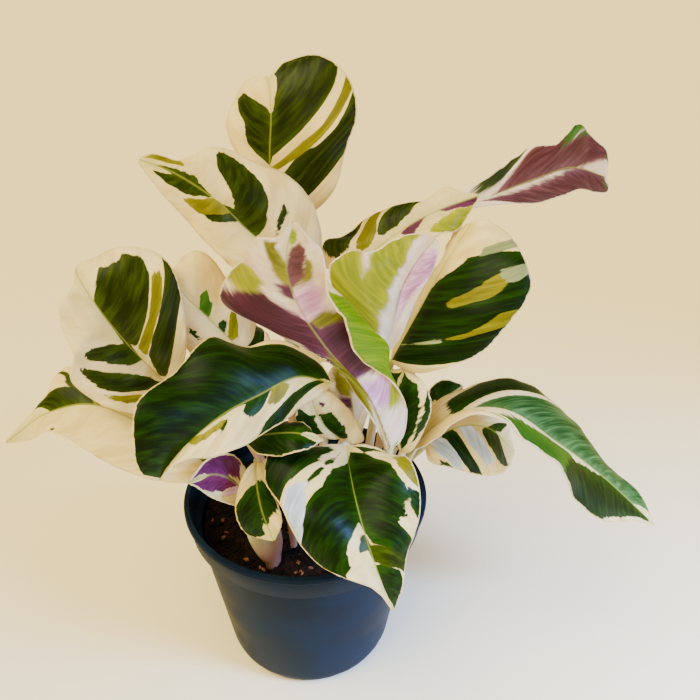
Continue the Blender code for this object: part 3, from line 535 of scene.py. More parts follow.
        "left": [(226, 366, -8), (196, 358, -10), (180, 335, -8), (172, 306, -4)],
        "right": [(256, 330, 12), (246, 296, 12), (226, 277, 10), (210, 257, 8), (197, 250, 7),
            (182, 259, 6)],
        "arch": (0.08, 0.1), "waves": (3, 1.2, 0), "stem": 1.4,
        "face": "upper", "marks": [
            ("moss", "right", [(201, 296), (206, 291), (211, 304), (210, 317), (203, 309)]),
            ("lime", "right", [(230, 312), (236, 311), (237, 336), (231, 338)]),
            ("dark", "right", [(220, 322), (226, 317), (228, 334), (222, 330)]),
            ("lime", "left", [(180, 346), (187, 343), (189, 352), (180, 362)]),
            ("dark", "left", [(187, 327), (194, 330), (201, 341), (192, 334)]),
        ],
    },
    "leaf_rim_purple": {
        "hole": (-14, -34), "stalk": [(-15, -34, 90)],
        "rib": [(252, 508, -31), (236, 484, -32), (214, 474, -37), (186, 482, -46)],
        "left": [(238, 506, -36), (214, 498, -41), (196, 487, -45)],
        "right": [(250, 478, -24), (232, 455, -26), (209, 459, -35)],
        "arch": (-0.15, -0.15), "waves": (2, 0.6, 0), "stem": 2.4,
        "face": "upper", "marks": [
            ("violet", "right", [(182, 480), (200, 468), (212, 456), (242, 448), (250, 462), (238, 477),
                (214, 474)]),
            ("violet", "left", [(182, 481), (214, 475), (240, 478), (236, 486), (222, 492), (205, 490),
                (190, 486)]),
            ("lilac", "left", [(226, 488), (240, 482), (238, 492), (226, 497)]),
        ],
    },
    "leaf_rim_small": {
        "hole": (-5, -24), "stalk": [(-6, -24, 100), (-10, -26, 128)],
        "rib": [(257, 460, -34), (256, 478, -40), (262, 508, -45), (274, 540, -48)],
        "left": [(266, 466, -36), (271, 490, -41), (282, 518, -47)],
        "right": [(246, 468, -37), (238, 490, -41), (237, 514, -44), (246, 534, -47)],
        "arch": (0.12, 0.12), "waves": (2, 0.8, 0), "stem": 1.2,
        "face": "upper", "marks": [
            ("dark", "right", [(234, 506), (246, 492), (258, 486), (262, 508), (266, 534), (250, 536),
                (238, 522)]),
            ("dark", "left", [(257, 486), (268, 487), (275, 500), (270, 520), (266, 534), (262, 515)]),
        ],
    },
    "leaf_centre_young": {
        "hole": (20, 6), "stalk": [(21, 6, 110)],
        "rib": [(352, 432, 3), (352, 405, 1), (346, 380, -1), (338, 358, -3)],
        "left": [(363, 408, 4), (365, 386, 3), (354, 362, 0)],
        "right": [(341, 418, 3), (331, 396, 1), (328, 374, -2)],
        "arch": (-0.12, -0.12), "waves": (2, 0.8, 0), "stem": 1.3,
        "face": "lower", "marks": [
            ("lime", "right", [(338, 392), (332, 374), (338, 360), (346, 380), (350, 395)]),
            ("plum", "right", [(338, 393), (351, 396), (351, 408), (342, 408)]),
            ("lime", "left", [(338, 358), (352, 362), (362, 386), (354, 392), (347, 380)]),
        ],
    },
}

# The three leaves behind, out of the photo's sight, in millimetres on the plant. Their marks are
# shares along the rib and from rib to margin.
backLeaves = {
    "leaf_back_low_left": {
        "hole": (-16, 30), "stalk": [(-18, 33, 105)],
        "rib": [(-24, 44, 126), (-36, 60, 142), (-50, 78, 146), (-66, 96, 134)],
        "left": [(-34, 44, 134), (-50, 56, 146), (-64, 74, 147), (-70, 90, 140)],
        "right": [(-20, 54, 132), (-24, 74, 142), (-38, 90, 144), (-56, 98, 137)],
        "arch": (0.12, 0.12), "waves": (3, 1.4, 0.4), "stem": 1.6,
        "bladeMarks": {"upper": [
            ("dark", "right", [(0.08, 0), (0.36, 0), (0.4, 0.6), (0.36, 1), (0.1, 1)]),
            ("lime", "right", [(0.43, 0), (0.48, 0), (0.53, 0.8), (0.47, 0.8)]),
            ("dark", "right", [(0.58, 0), (0.86, 0), (0.8, 0.6), (0.6, 0.8)]),
            ("dark", "left", [(0.28, 0), (0.66, 0), (0.7, 0.6), (0.6, 1), (0.3, 0.8)]),
            ("pale", "left", [(0.14, 0.1), (0.24, 0), (0.26, 0.9), (0.16, 0.8)]),
        ]},
    },
    "leaf_back_middle": {
        "hole": (2, 36), "stalk": [(3, 40, 110)],
        "rib": [(5, 50, 138), (9, 66, 156), (14, 84, 162), (20, 104, 152)],
        "left": [(-8, 54, 142), (-12, 70, 156), (-4, 88, 160), (10, 102, 155)],
        "right": [(18, 50, 141), (30, 64, 154), (34, 82, 158), (28, 98, 155)],
        "arch": (0.12, 0.12), "waves": (3, 1.4, 1.2), "stem": 1.6,
        "bladeMarks": {"upper": [
            ("dark", "left", [(0.1, 0), (0.88, 0), (0.8, 0.6), (0.55, 1), (0.12, 1)]),
            ("dark", "right", [(0.5, 0), (0.78, 0), (0.76, 0.7), (0.54, 0.9)]),
            ("lime", "right", [(0.3, 0), (0.4, 0), (0.42, 0.7), (0.34, 0.6)]),
        ]},
    },
    "leaf_back_low_right": {
        "hole": (22, 36), "stalk": [(26, 41, 98)],
        "rib": [(31, 50, 110), (40, 66, 115), (50, 84, 109), (60, 100, 92)],
        "left": [(24, 60, 114), (28, 78, 116), (40, 94, 108)],
        "right": [(42, 52, 110), (56, 64, 112), (62, 82, 105)],
        "arch": (0.12, 0.12), "waves": (3, 1.4, 2), "stem": 1.6,
        "bladeMarks": {"upper": [
            ("dark", "left", [(0.2, 0), (0.48, 0), (0.5, 0.7), (0.4, 1), (0.2, 1)]),
            ("lime", "left", [(0.54, 0), (0.62, 0), (0.64, 0.8), (0.56, 0.7)]),
            ("dark", "right", [(0.05, 0), (0.3, 0), (0.34, 0.9), (0.1, 1)]),
            ("dark", "right", [(0.42, 0), (0.8, 0), (0.78, 0.5), (0.5, 0.9)]),
        ]},
    },
}


# How every blade is made; lengths in millimetres.
bladeMake = {
    "half": 0.36, "ribWidth": 1.3, "ribAbove": 0.2, "ribFade": 0.8, "grooveDepth": 0.25, "grooveWidth": 0.8,
    "start": 0.02, "end": 0.985, "soilTop": 80.0, "stemDepth": 16.0, "stemStraight": 2.5, "stalkRows": 26,
    "rowsPerMm": 1.0, "leastRows": 44, "mostRows": 118,
    "columnsPerMm": 0.75, "leastColumns": 20, "mostColumns": 46,
    "sweep": 0.38, "sweepPower": 1.3,      # side veins leave the rib and run towards the tip
    "fullSize": 90.0, "veinSpacing": 5.5, "quilt": 0.32, "roll": 0.35, "ripple": 0.4, "rippleCount": 12,
    "sheath": 0.25,                        # how much wider a stalk is where it clasps the others
    "markGrow": 0.05, "crossScale": 0.5,   # marks run along the veins, so they are read closer across
    "nearRib": 0.09, "pastRib": -0.15, "nearMargin": 0.88, "pastMargin": 1.3,
    "noMark": -9.0, "pickRows": 161, "pickColumns": 60, "closeCorners": 0.03,
}
wideSheaths = {"leaf_rim_purple": 2.2, "leaf_rim_small": 0.8}


def unit(vectors):
    return vectors / np.maximum(np.linalg.norm(vectors, axis=-1, keepdims=True), 1e-9)


def curvePiece(a, b, c, d, count=24):
    # centripetal curve from b to c, with a and d as its neighbours
    knots = [0.0]
    for p, q in ((a, b), (b, c), (c, d)):
        knots.append(knots[-1] + max(np.linalg.norm(q - p), 1e-6) ** 0.5)
    t0, t1, t2, t3 = knots
    t = np.linspace(t1, t2, count, endpoint=False)[:, None]
    ab = a * (t1 - t) / (t1 - t0) + b * (t - t0) / (t1 - t0)
    bc = b * (t2 - t) / (t2 - t1) + c * (t - t1) / (t2 - t1)
    cd = c * (t3 - t) / (t3 - t2) + d * (t - t2) / (t3 - t2)
    abc = ab * (t2 - t) / (t2 - t0) + bc * (t - t0) / (t2 - t0)
    bcd = bc * (t3 - t) / (t3 - t1) + cd * (t - t1) / (t3 - t1)
    return abc * (t2 - t) / (t2 - t1) + bcd * (t - t1) / (t2 - t1)


def readCurve(points, shares):
    # a smooth curve through the points, read at shares of its length
    pts = np.array(points, float)
    pts = np.vstack([2 * pts[0] - pts[1], pts, 2 * pts[-1] - pts[-2]])
    dense = [curvePiece(a, b, c, d) for a, b, c, d in zip(pts, pts[1:], pts[2:], pts[3:])]
    dense = np.vstack(dense + [pts[-2][None, :]])
    steps = np.linalg.norm(np.diff(dense, axis=0), axis=1)
    length = np.concatenate([[0], np.cumsum(steps)])
    return np.stack([np.interp(np.array(shares) * length[-1], length, dense[:, i]) for i in range(3)], 1)


def bladeSurface(leaf, rows, columns, ripple, seed):
    # middle surface of the blade, rows from base to tip and columns from left to right
    even = np.linspace(0, 1, rows)
    shares = even - 0.5 * np.sin(2 * math.pi * even) / (2 * math.pi)
    shares = bladeMake["start"] + (bladeMake["end"] - bladeMake["start"]) * shares
    rib = readCurve(leaf["rib"], shares)
    probe = np.linspace(0, 1, 60)
    along = unit(np.gradient(readCurve(leaf["rib"], probe), axis=0))
    along = np.stack([np.interp(shares, probe, along[:, i]) for i in range(3)], 1)
    across = np.linspace(-1, 1, columns + 1)
    surface = np.zeros((rows, columns + 1, 3))
    first, last = [leaf["rib"][0]], [leaf["rib"][-1]]
    count, height, phase = leaf["waves"]
    for side, name, fold in ((-1, "left", "foldLeft"), (1, "right", "foldRight")):
        margin = readCurve(first + leaf[name] + last, shares)
        outwards = margin - rib
        width = np.linalg.norm(outwards, axis=1, keepdims=True)
        up = unit(np.cross(side * outwards, along))
        middle = rib + 0.5 * outwards + leaf["arch"][(side + 1) // 2] * up * width
        if fold in leaf:
            middle = readCurve(first + leaf[fold] + last, shares)
        for column, r in enumerate(across):
            if r * side < 0 or (r == 0 and side < 0):
                continue
            q = abs(r)
            path = rib * (1 - q) * (1 - 2 * q) + middle * 4 * q * (1 - q) + margin * q * (2 * q - 1)
            wave = height * q ** 2.5 * np.sin(2 * math.pi * count * shares + phase + side)
            edge = ripple * q ** 8 * np.sin(2 * math.pi * bladeMake["rippleCount"] * shares + seed)
            lift = (wave + edge) * np.sin(math.pi * shares) ** 0.5
            surface[:, column] = path + up * lift[:, None]
    return surface, shares, across


def surfaceUp(surface):
    up = unit(np.cross(np.gradient(surface, axis=1), np.gradient(surface, axis=0)))
    up[0], up[-1] = up[1], up[-2]
    return up


def rowReach(surface):
    # how far each point lies from the rib, measured over the blade
    steps = np.linalg.norm(np.diff(surface, axis=1), axis=2)
    middle = steps.shape[1] // 2
    rightHalf = np.cumsum(steps[:, middle:], axis=1)
    leftHalf = np.cumsum(steps[:, :middle][:, ::-1], axis=1)[:, ::-1]
    return np.concatenate([leftHalf, np.zeros((len(steps), 1)), rightHalf], axis=1)


def veinPlace(shares, across):
    # q counts along the rib to where the side vein of a point starts, r from rib to margin
    reach = bladeMake["sweep"] * np.abs(across) ** bladeMake["sweepPower"]
    q = (shares[:, None] - reach[None, :]) / (1 - reach[None, :])
    return q, np.broadcast_to(across[None, :], q.shape)


def quiltedSurface(surface, shares, across, length, seed):
    # the blade swells a little between its side veins and sinks along them
    q, r = veinPlace(shares, across)
    count = length / bladeMake["veinSpacing"]
    swell = np.abs(np.sin(math.pi * count * q + 0.3 * np.sin(seed + 5 * q))) - 0.6
    fade = np.sin(math.pi * np.clip(np.abs(r), 0, 1)) ** 0.7 * (np.sin(math.pi * shares) ** 0.6)[:, None]
    size = min(1.0, length / bladeMake["fullSize"])
    roll = bladeMake["roll"] * np.sin(7 * q + seed) * np.sin(2.6 * r + 2 * seed)
    return surface + surfaceUp(surface) * ((bladeMake["quilt"] * swell + roll) * size * fade)[:, :, None]


def stalkRings(leaf, side, up, columns, sheath):
    x, y = leaf["hole"]
    foot = np.array([x, y, bladeMake["soilTop"] - bladeMake["stemDepth"]], float)
    collar = (x, y, bladeMake["soilTop"] + bladeMake["stemStraight"])
    path = [collar] + leaf["stalk"] + [leaf["rib"][0]]
    points = np.vstack([foot[None, :], readCurve(path, np.linspace(0, 1, bladeMake["stalkRows"]))])
    along = unit(np.gradient(points, axis=0))
    along[0] = along[1] = (0, 0, 1)
    along[-1] = unit(np.array(leaf["rib"][1], float) - leaf["stalk"][-1])
    angles = math.pi - math.pi / (columns + 1) * (np.arange(columns + 1) + 0.5)
    rings = []
    for k in range(len(points) - 1, -1, -1):
        side = unit(side - along[k] * np.dot(side, along[k]))
        up = unit(np.cross(side, along[k]))
        low = 1 - k / (len(points) - 1)
        radius = leaf["stem"] * (1.0 + 0.25 * low)
        spread = 1 + sheath * math.sin(math.pi * min(1.0, 0.2 + 0.8 * low)) ** 0.7
        flat, tall = np.cos(angles)[:, None] * side * spread, np.sin(angles)[:, None] * up
        rings.append(np.vstack([points[k] + radius * (flat + tall), points[k] + radius * (flat - tall)]))
    return rings[::-1]


# Picks on the photo, carried onto the plant
pitch = math.radians(view["pitchDown"])
viewPlace = np.array(view["place"])
viewRight = np.array([1.0, 0, 0])
viewUp = np.array([0, math.sin(pitch), math.cos(pitch)])
viewAhead = np.array([0, math.cos(pitch), -math.sin(pitch)])
halfImage, focal = view["imagePixels"] / 2, view["focalPixels"]


def placeOf(acrossPixel, downPixel, depth):
    # the point, in whole millimetres, that shows at this pixel at this depth
    sideways = viewRight * (acrossPixel - halfImage) / focal
    ray = sideways + viewUp * (halfImage - downPixel) / focal + viewAhead
    reach = (depth - viewPlace[1]) / ray[1]
    return tuple(int(round(c)) for c in viewPlace + ray * reach)


def pixelsOf(points):
    offset = points - viewPlace
    ahead = offset @ viewAhead
    right, up = focal * (offset @ viewRight) / ahead, focal * (offset @ viewUp) / ahead
    return np.stack([halfImage + right, halfImage - up], -1)


def ontoBlade(pixels, q, r, side, outline):
    # each corner goes to the place on its half of the blade that shows nearest to it
    half = r >= 0 if side == "right" else r <= 0
    corners = []
    for pick in outline:
        gap = np.where(half, ((pixels - pick) ** 2).sum(-1), np.inf)
        at = np.unravel_index(gap.argmin(), gap.shape)
        corner = (round(float(q[at]), 2), round(float(abs(r[at])), 2))
        last = corners[-1] if corners else (9, 9)
        if abs(corner[0] - last[0]) + abs(corner[1] - last[1]) > bladeMake["closeCorners"]:
            corners.append(corner)
    return corners


def carriedOver(leaf):
    # the leaf with its rails in millimetres and its picked marks on the blade
    carried = dict(leaf)
    for rail in ("rib", "left", "right", "foldLeft", "foldRight"):
        if rail in leaf:
            carried[rail] = [placeOf(*pick) for pick in leaf[rail]]
    surface, shares, across = bladeSurface(carried, bladeMake["pickRows"], bladeMake["pickColumns"], 0, 0)
    q, r = veinPlace(shares, across)
    pixels = pixelsOf(surface)
    marks = [(tone, side, ontoBlade(pixels, q, r, side, outline)) for tone, side, outline in leaf["marks"]]
    carried["bladeMarks"] = {leaf["face"]: marks, **leaf.get("bladeMarks", {})}
    return carried


# Marks on the blade
otherFace = {
    "upper": {"plum": "dark", "lilac": "pale"},
    "lower": {"dark": "plum", "olive": "plum", "lime": "lilac", "pale": "lilac", "moss": "plum",
              "paleSheen": "lilac", "sageSheen": "plum"},
}


def faceMarks(leaf, face):
    # a face with no marks of its own repeats the other one in its own tones
    own = leaf["bladeMarks"]
    if face in own:
        return own[face]
    other = own["lower" if face == "upper" else "upper"]
    return [(otherFace[face].get(tone, tone), side, outline) for tone, side, outline in other]


def insideDistance(q, r, outline):
    # signed distance to a closed outline, positive inside
    best = np.full(q.shape, 1e9)
    inside = np.zeros(q.shape, bool)
    for (ax, ay), (bx, by) in zip(outline, outline[1:] + outline[:1]):
        dx, dy = bx - ax, by - ay
        share = np.clip(((q - ax) * dx + (r - ay) * dy) / (dx * dx + dy * dy + 1e-12), 0, 1)
        best = np.minimum(best, np.hypot(q - ax - share * dx, r - ay - share * dy))
        crosses = ((ay > r) != (by > r)) & (q < (bx - ax) * (r - ay) / (by - ay + 1e-12) + ax)
        inside ^= crosses
    return np.where(inside, best, -best)


def pushedOut(r):
    # a mark that reaches the rib or the margin runs on past it
    if r < bladeMake["nearRib"]:
        return bladeMake["pastRib"]
    return bladeMake["pastMargin"] if r > bladeMake["nearMargin"] else r


def markFields(marks, q, r, length, halfWidth):
    # for each tone the distance in millimetres to the nearest edge of its marks
    width = halfWidth * bladeMake["crossScale"]
    fields = {tone: np.full(q.shape, bladeMake["noMark"]) for tone in leafTones}
    for tone, side, outline in marks:
        sign = 1 if side == "right" else -1
        spots = [(a * length, pushedOut(b) * width) for a, b in outline]
        field = insideDistance(q * length, r * sign * width, spots) + bladeMake["markGrow"]
        field = np.where(r * sign >= -0.001, field, bladeMake["noMark"])
        fields[tone] = np.maximum(fields[tone], field)
    return fields


# The leaf as one closed mesh
def ringFaces(rings, stalkCount, columns):
    # rings of two rows each, the upper face's and the lower one's, closed at the edges and the ends
    width = columns + 1
    faces, slots = [], []
    for ring in range(rings - 1):
        base, following = ring * 2 * width, (ring + 1) * 2 * width
        above, below = (stalkSlot, stalkSlot) if ring < stalkCount else (upperSlot, lowerSlot)
        for j in range(columns):
            a, b, c, d = base + j, base + j + 1, following + j + 1, following + j
            faces.append((a, b, c, d))
            faces.append((a + width, d + width, c + width, b + width))
            slots.extend((above, below))
        faces.append((base, following, following + width, base + width))
        last = base + columns
        faces.append((last, last + width, last + width + 2 * width, last + 2 * width))
        slots.extend((below, below))
    for base, slot in ((0, stalkSlot), ((rings - 1) * 2 * width, lowerSlot)):
        for j in range(columns):
            face = (base + j, base + width + j, base + width + j + 1, base + j + 1)
            faces.append(face[::-1] if base else face)
            slots.append(slot)
    return faces, slots


def writeField(mesh, name, stalkValues, upper, lower, kind="FLOAT"):
    # one value for each point: the stalk's, then row by row the upper and the lower face's
    blade = np.concatenate([upper, lower], axis=1)
    values = np.concatenate([stalkValues.ravel(), blade.ravel()])
    field = "value" if kind == "FLOAT" else "vector"
    mesh.attributes.new(name, kind, "POINT").data.foreach_set(field, values)


def pointOutwards(mesh):
    work = bmesh.new()
    work.from_mesh(mesh)
    if work.calc_volume(signed=True) < 0:
        bmesh.ops.reverse_faces(work, faces=work.faces)
    work.to_mesh(mesh)
    work.free()


def shown(name, mesh):
    made = bpy.data.objects.new(name, mesh)
    bpy.context.scene.collection.objects.link(made)
    return made


def between(least, value, most):
    return int(min(most, max(least, value)))


def makeLeaf(name, leaf, seed):
    make = bladeMake
    length = np.linalg.norm(np.diff(readCurve(leaf["rib"], np.linspace(0, 1, 40)), axis=0), axis=1).sum()
    leftMiddle, rightMiddle = [np.array(leaf[side][len(leaf[side]) // 2]) for side in ("left", "right")]
    broad = np.linalg.norm(leftMiddle - rightMiddle)
    rows = between(make["leastRows"], length * make["rowsPerMm"], make["mostRows"])
    columns = between(make["leastColumns"], broad * make["columnsPerMm"], make["mostColumns"]) // 2 * 2
    surface, shares, across = bladeSurface(leaf, rows, columns, make["ripple"], seed)
    surface = quiltedSurface(surface, shares, across, length, seed)
    up = surfaceUp(surface)
    reach = rowReach(surface)
    bump = (leaf["stem"] - make["half"]) * (1 - shares) ** make["ribFade"]
    rib = bump[:, None] * np.exp(-(reach / make["ribWidth"]) ** 2)
    groove = make["grooveDepth"] * np.exp(-(reach / make["grooveWidth"]) ** 2) * (1 - shares)[:, None]
    top = surface + up * (make["half"] + make["ribAbove"] * rib - groove)[:, :, None]
    low = surface - up * (make["half"] + rib)[:, :, None]
    side = unit(surface[0, -1] - surface[0, 0])
    stalk = stalkRings(leaf, side, up[0, columns // 2], columns, wideSheaths.get(name, make["sheath"]))
    rings = stalk + [np.vstack(pair) for pair in zip(top, low)]
    faces, slots = ringFaces(len(rings), len(stalk), columns)
    mesh = bpy.data.meshes.new(name + "Mesh")
    mesh.from_pydata((np.vstack(rings) * mm).tolist(), [], faces)
    mesh.polygons.foreach_set("material_index", slots)
    for material in leafMaterials:
        mesh.materials.append(material)
    writeMarks(mesh, leaf, length, shares, across, reach, len(stalk), seed)
    pointOutwards(mesh)
    mesh.shade_smooth()
    return shown(name[0] + name.title().replace("_", "")[1:], mesh)


def writeMarks(mesh, leaf, length, shares, across, reach, stalkCount, seed):
    q, r = veinPlace(shares, across)
    onStalk = np.ones((stalkCount, 2 * len(across)))
    upper, lower = [markFields(faceMarks(leaf, face), q, r, length, reach.max())
                    for face in ("upper", "lower")]
    for tone in leafTones:
        writeField(mesh, tone + "Field", onStalk * bladeMake["noMark"], upper[tone], lower[tone])
    writeField(mesh, "ribDistance", onStalk * 0, reach, reach)
    margin = np.where(across[None, :] < 0, reach[:, :1], reach[:, -1:]) - reach
    writeField(mesh, "marginDistance", onStalk * 0, margin, margin)
    place = np.stack([q * length / 100, r, np.full(q.shape, seed * 7.1)], axis=2)
    onFoot = onStalk[:, :, None] * (0.0, 0.0, seed * 7.1)
    writeField(mesh, "leafPlace", onFoot, place, place + (0, 0, 3.3), "FLOAT_VECTOR")
    rise = onStalk * np.linspace(0, 1, stalkCount)[:, None]
    writeField(mesh, "stalkRise", rise, np.ones(q.shape), np.ones(q.shape))


allLeaves = {**{name: carriedOver(leaf) for name, leaf in leaves.items()}, **backLeaves}
for number, (name, leaf) in enumerate(allLeaves.items()):
    piece = makeLeaf(name, leaf, number * 1.37 + 0.4)
    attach(piece, "root")
    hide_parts(name)
print("calathea:", len(allLeaves), "leaves made")


# Nursery pot: injection-moulded polypropylene, satin, slate blue; millimetres.
potSize = {
    "height": 95.0, "rimRadius": 60.0, "collarHeight": 13.5, "collarRadius": 57.6,
    "bodyTopRadius": 54.4, "bodyBottomRadius": 43.0, "footRadius": 37.5, "footHeight": 8.0,
    "wall": 1.5, "segments": 160, "sharpAngle": 28,
    "drains": 8, "drainWidth": 9.0, "drainHeight": 4.0, "drainPoints": 15, "drainBelow": 2.0,
    "drainInside": 2.0, "drainOutside": 4.0,
}
potSteps = {     # small turns of the wall: outwards and upwards from the corner they soften
    "foot": [(0, 0), (1.6, 0.6), (3.2, 2.4), (4.4, 4.6)], "bodyBottom": [(0, 0)],
    "underCollar": [(-0.2, -1.4), (0.6, -0.7)], "collarEdge": [(-0.4, -0.2), (0, 0.4)],
    "underRim": [(1.2, -3.3)], "rim": [(-0.4, -2.8), (0, -2.2), (0, -0.8), (-0.3, -0.2), (-0.9, 0)],
    "lip": [(-0.2, 0), (-0.9, -1.2)], "insideCollar": [(-1.9, 1.5)], "insideTop": [(0, -1.5)],
    "insideBottom": [(0, 0)], "insideFoot": [(1.6, 1.5), (-0.6, 0)],
}
potLook = {
    # the blues are slate blue plastic painted darker: painted shade for the shadow on the pot's front
    "deep": "#0C1824", "ground": "#132232", "low": "#1E2A38", "lowHeight": 0.03, "scuff": "#34414F",
    "leastRough": 0.36, "mostRough": 0.5, "specular": 0.03, "grainLift": 0.00006,
}


def turnedSolid(profile, segments):
    points, rows, faces = [], [], []
    for radius, height in profile:
        if radius == 0:
            rows.append([len(points)])
            points.append((0, 0, height * mm))
            continue
        rows.append(list(range(len(points), len(points) + segments)))
        for k in range(segments):
            a = 2 * math.pi * k / segments
            points.append((radius * mm * math.cos(a), radius * mm * math.sin(a), height * mm))
    for low, high in zip(rows, rows[1:]):
        for k in range(segments):
            m = (k + 1) % segments
            if len(low) == 1:
                faces.append([low[0], high[k], high[m]])
            elif len(high) == 1:
                faces.append([low[k], high[0], low[m]])
            else:
                faces.append([low[k], high[k], high[m], low[m]])
    return points, faces


def meshPiece(name, points, faces, material, sharpAngle=35):
    mesh = bpy.data.meshes.new(name + "Mesh")
    mesh.from_pydata(points, [], faces)
    mesh.update()
    pointOutwards(mesh)
    mesh.shade_smooth()
    mesh.set_sharp_from_angle(angle=math.radians(sharpAngle))
    mesh.materials.append(material)
    return shown(name, mesh)


def potMaterial():
    # satin polypropylene: a moulding grain of 0.5 mm, a soft bloom of dust in clouds 36 mm wide,
    # and pale scuffs 17 mm long and 1 mm high
    look = potLook
    material, tree = newMaterial("mouldedPolypropylene")
    spot = addNode(tree, "ShaderNodeTexCoord", {}, "Object")
    cloud = grain(tree, spot, (28.0, 28.0, 40.0), 4.0)
    moulding = grain(tree, spot, (2200.0, 2200.0, 2200.0), 1.0)
    scuff = grain(tree, spot, (60.0, 60.0, 900.0), 4.0, 0.7)
    height = addNode(tree, "ShaderNodeSeparateXYZ", {0: spot}, 2)
    # slate blue painted darker than the plastic: painted shade for the shadow on the pot's front
    colour = paint(tree, look["deep"], [(look["ground"], (cloud, 0.35, 0.7, 0.0, 1.0)),
                                        (look["low"], (height, look["lowHeight"], 0.0, 0.0, 0.35)),
                                        (look["scuff"], (scuff, 0.6, 0.8, 0.0, 0.18))])
    rough = addUp(tree, [(cloud, 0.3, 0.7, look["leastRough"], look["mostRough"])])
    dress(tree, colour, moulding, 0.25, look["grainLift"], {
        "Roughness": rough, "IOR": 1.49, "Specular IOR Level": look["specular"]})
    return material


def meshNow(host):
    # the host's mesh with its modifiers worked out, which are then removed
    graph = bpy.context.evaluated_depsgraph_get()
    mesh = bpy.data.meshes.new_from_object(host.evaluated_get(graph))
    host.modifiers.clear()
    host.data = mesh
    return mesh


def cutWith(target, cutter):
    cut = target.modifiers.new("cut", "BOOLEAN")
    cut.operation = "DIFFERENCE"
    cut.solver = "EXACT"
    cut.object = cutter
    meshNow(target)
    bpy.data.objects.remove(cutter, do_unlink=True)


def drainCutter(angle, material):
    # a prism with a half-round top, standing through the wall of the foot
    s = potSize
    radial = Vector((math.cos(angle), math.sin(angle), 0))
    sideways = Vector((-math.sin(angle), math.cos(angle), 0))
    wide, turns = s["drainWidth"] / 2, [math.pi * i / s["drainPoints"] for i in range(s["drainPoints"] + 1)]
    arc = [(wide * math.cos(a), s["drainHeight"] * math.sin(a)) for a in turns]
    outline = [(wide, -s["drainBelow"])] + arc + [(-wide, -s["drainBelow"])]
    points = []
    for radius in (s["footRadius"] - s["drainInside"], s["bodyBottomRadius"] + s["drainOutside"]):
        points.extend((radial * radius + sideways * x + Vector((0, 0, z))) * mm for x, z in outline)
    n = len(outline)
    faces = [list(range(n)), list(range(2 * n - 1, n - 1, -1))]
    faces += [[i, i + n, (i + 1) % n + n, (i + 1) % n] for i in range(n)]
    return meshPiece("drainCutter", points, faces, material)


def makePot():
    s = potSize
    collar = s["height"] - s["collarHeight"]
    high, wall = s["height"], s["wall"]
    corners = {
        "foot": (s["footRadius"], 0), "bodyBottom": (s["bodyBottomRadius"], s["footHeight"]),
        "underCollar": (s["bodyTopRadius"], collar), "collarEdge": (s["collarRadius"], collar),
        "underRim": (s["collarRadius"], high), "rim": (s["rimRadius"], high),
        "lip": (s["collarRadius"], high), "insideCollar": (s["collarRadius"], collar),
        "insideTop": (s["bodyTopRadius"] - wall, collar),
        "insideBottom": (s["bodyBottomRadius"] - wall, s["footHeight"]),
        "insideFoot": (s["footRadius"], wall),
    }
    profile = [(0, 0)]
    for name, (radius, height) in corners.items():
        profile.extend((radius + out, height + rise) for out, rise in potSteps[name])
    points, faces = turnedSolid(profile + [(0, wall)], s["segments"])
    material = potMaterial()
    pot = meshPiece("mouldedPot", points, faces, material, s["sharpAngle"])
    for k in range(s["drains"]):
        cutWith(pot, drainCutter(2 * math.pi * (k + 0.5) / s["drains"], material))
    return pot


pot = makePot()
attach(pot, "root")
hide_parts("nursery_pot")
print("calathea: pot turned")


# Potting mix: moist milled peat with bark chips; millimetres, crumbs in metres.
soilSize = {
    "top": 80.0, "radius": 51.9, "lowRadius": 41.1, "floor": 1.8, "bevelIn": 6.4, "bevelTop": 8.4,
    "edgeDrop": 1.4, "rings": 60, "segments": 160, "sharpAngle": 60,
    "crown": 1.2, "relief": 1.3, "small": 0.5, "fine": 0.28,     # heights of its unevenness
}
soilLook = {
    # dark moist peat painted darker still: painted shade for the shadow under the leaves
    "deep": "#0A0704", "ground": "#1E130B", "fibre": "#3A2718", "rough": 0.88, "specular": 0.1,
    "lift": 0.0005, "barkDeep": "#3A1E0D", "barkDry": "#8A5226", "barkRough": 0.8, "barkLift": 0.0004,
}
bedSize = {"radius": 49.8, "middle": 0.02, "sunk": 0.1, "rings": 24, "segments": 48}
crumbKinds = {
    "peatCrumbs": {"count": 2600, "least": 0.0007, "most": 0.0022, "seed": 3, "flat": 0.8},
    "barkChips": {"count": 45, "least": 0.0016, "most": 0.0038, "seed": 11, "flat": 0.35},
}


def peatMaterial():
    # moist peat: nearly black, partly its own dark colour and partly painted shade for the shadow under the
    # leaves; matt, in clods of 6 mm with fibres of 0.7 mm
    look = soilLook
    material, tree = newMaterial("moistPeat")
    spot = addNode(tree, "ShaderNodeTexCoord", {}, "Object")
    cloud = grain(tree, spot, (160.0, 160.0, 160.0), 4.0)
    fibre = grain(tree, spot, (1400.0, 1400.0, 1400.0))
    colour = paint(tree, look["deep"], [(look["ground"], (cloud, 0.35, 0.7, 0.0, 1.0)),
                                        (look["fibre"], (fibre, 0.55, 0.75, 0.0, 0.4))])
    dress(tree, colour, fibre, 0.8, look["lift"], {"Roughness": look["rough"],
                                                   "Specular IOR Level": look["specular"]})
    return material


def barkMaterial():
    # composted pine bark: orange brown, dry on top, with darker layers 1 to 3 mm thick
    look = soilLook
    material, tree = newMaterial("compostedBark")
    spot = addNode(tree, "ShaderNodeTexCoord", {}, "Object")
    layers = grain(tree, spot, (300.0, 900.0, 500.0))
    colour = paint(tree, look["barkDeep"], [(look["barkDry"], (layers, 0.3, 0.7, 0.0, 1.0))])
    dress(tree, colour, layers, 0.6, look["barkLift"], {"Roughness": look["barkRough"]})
    return material


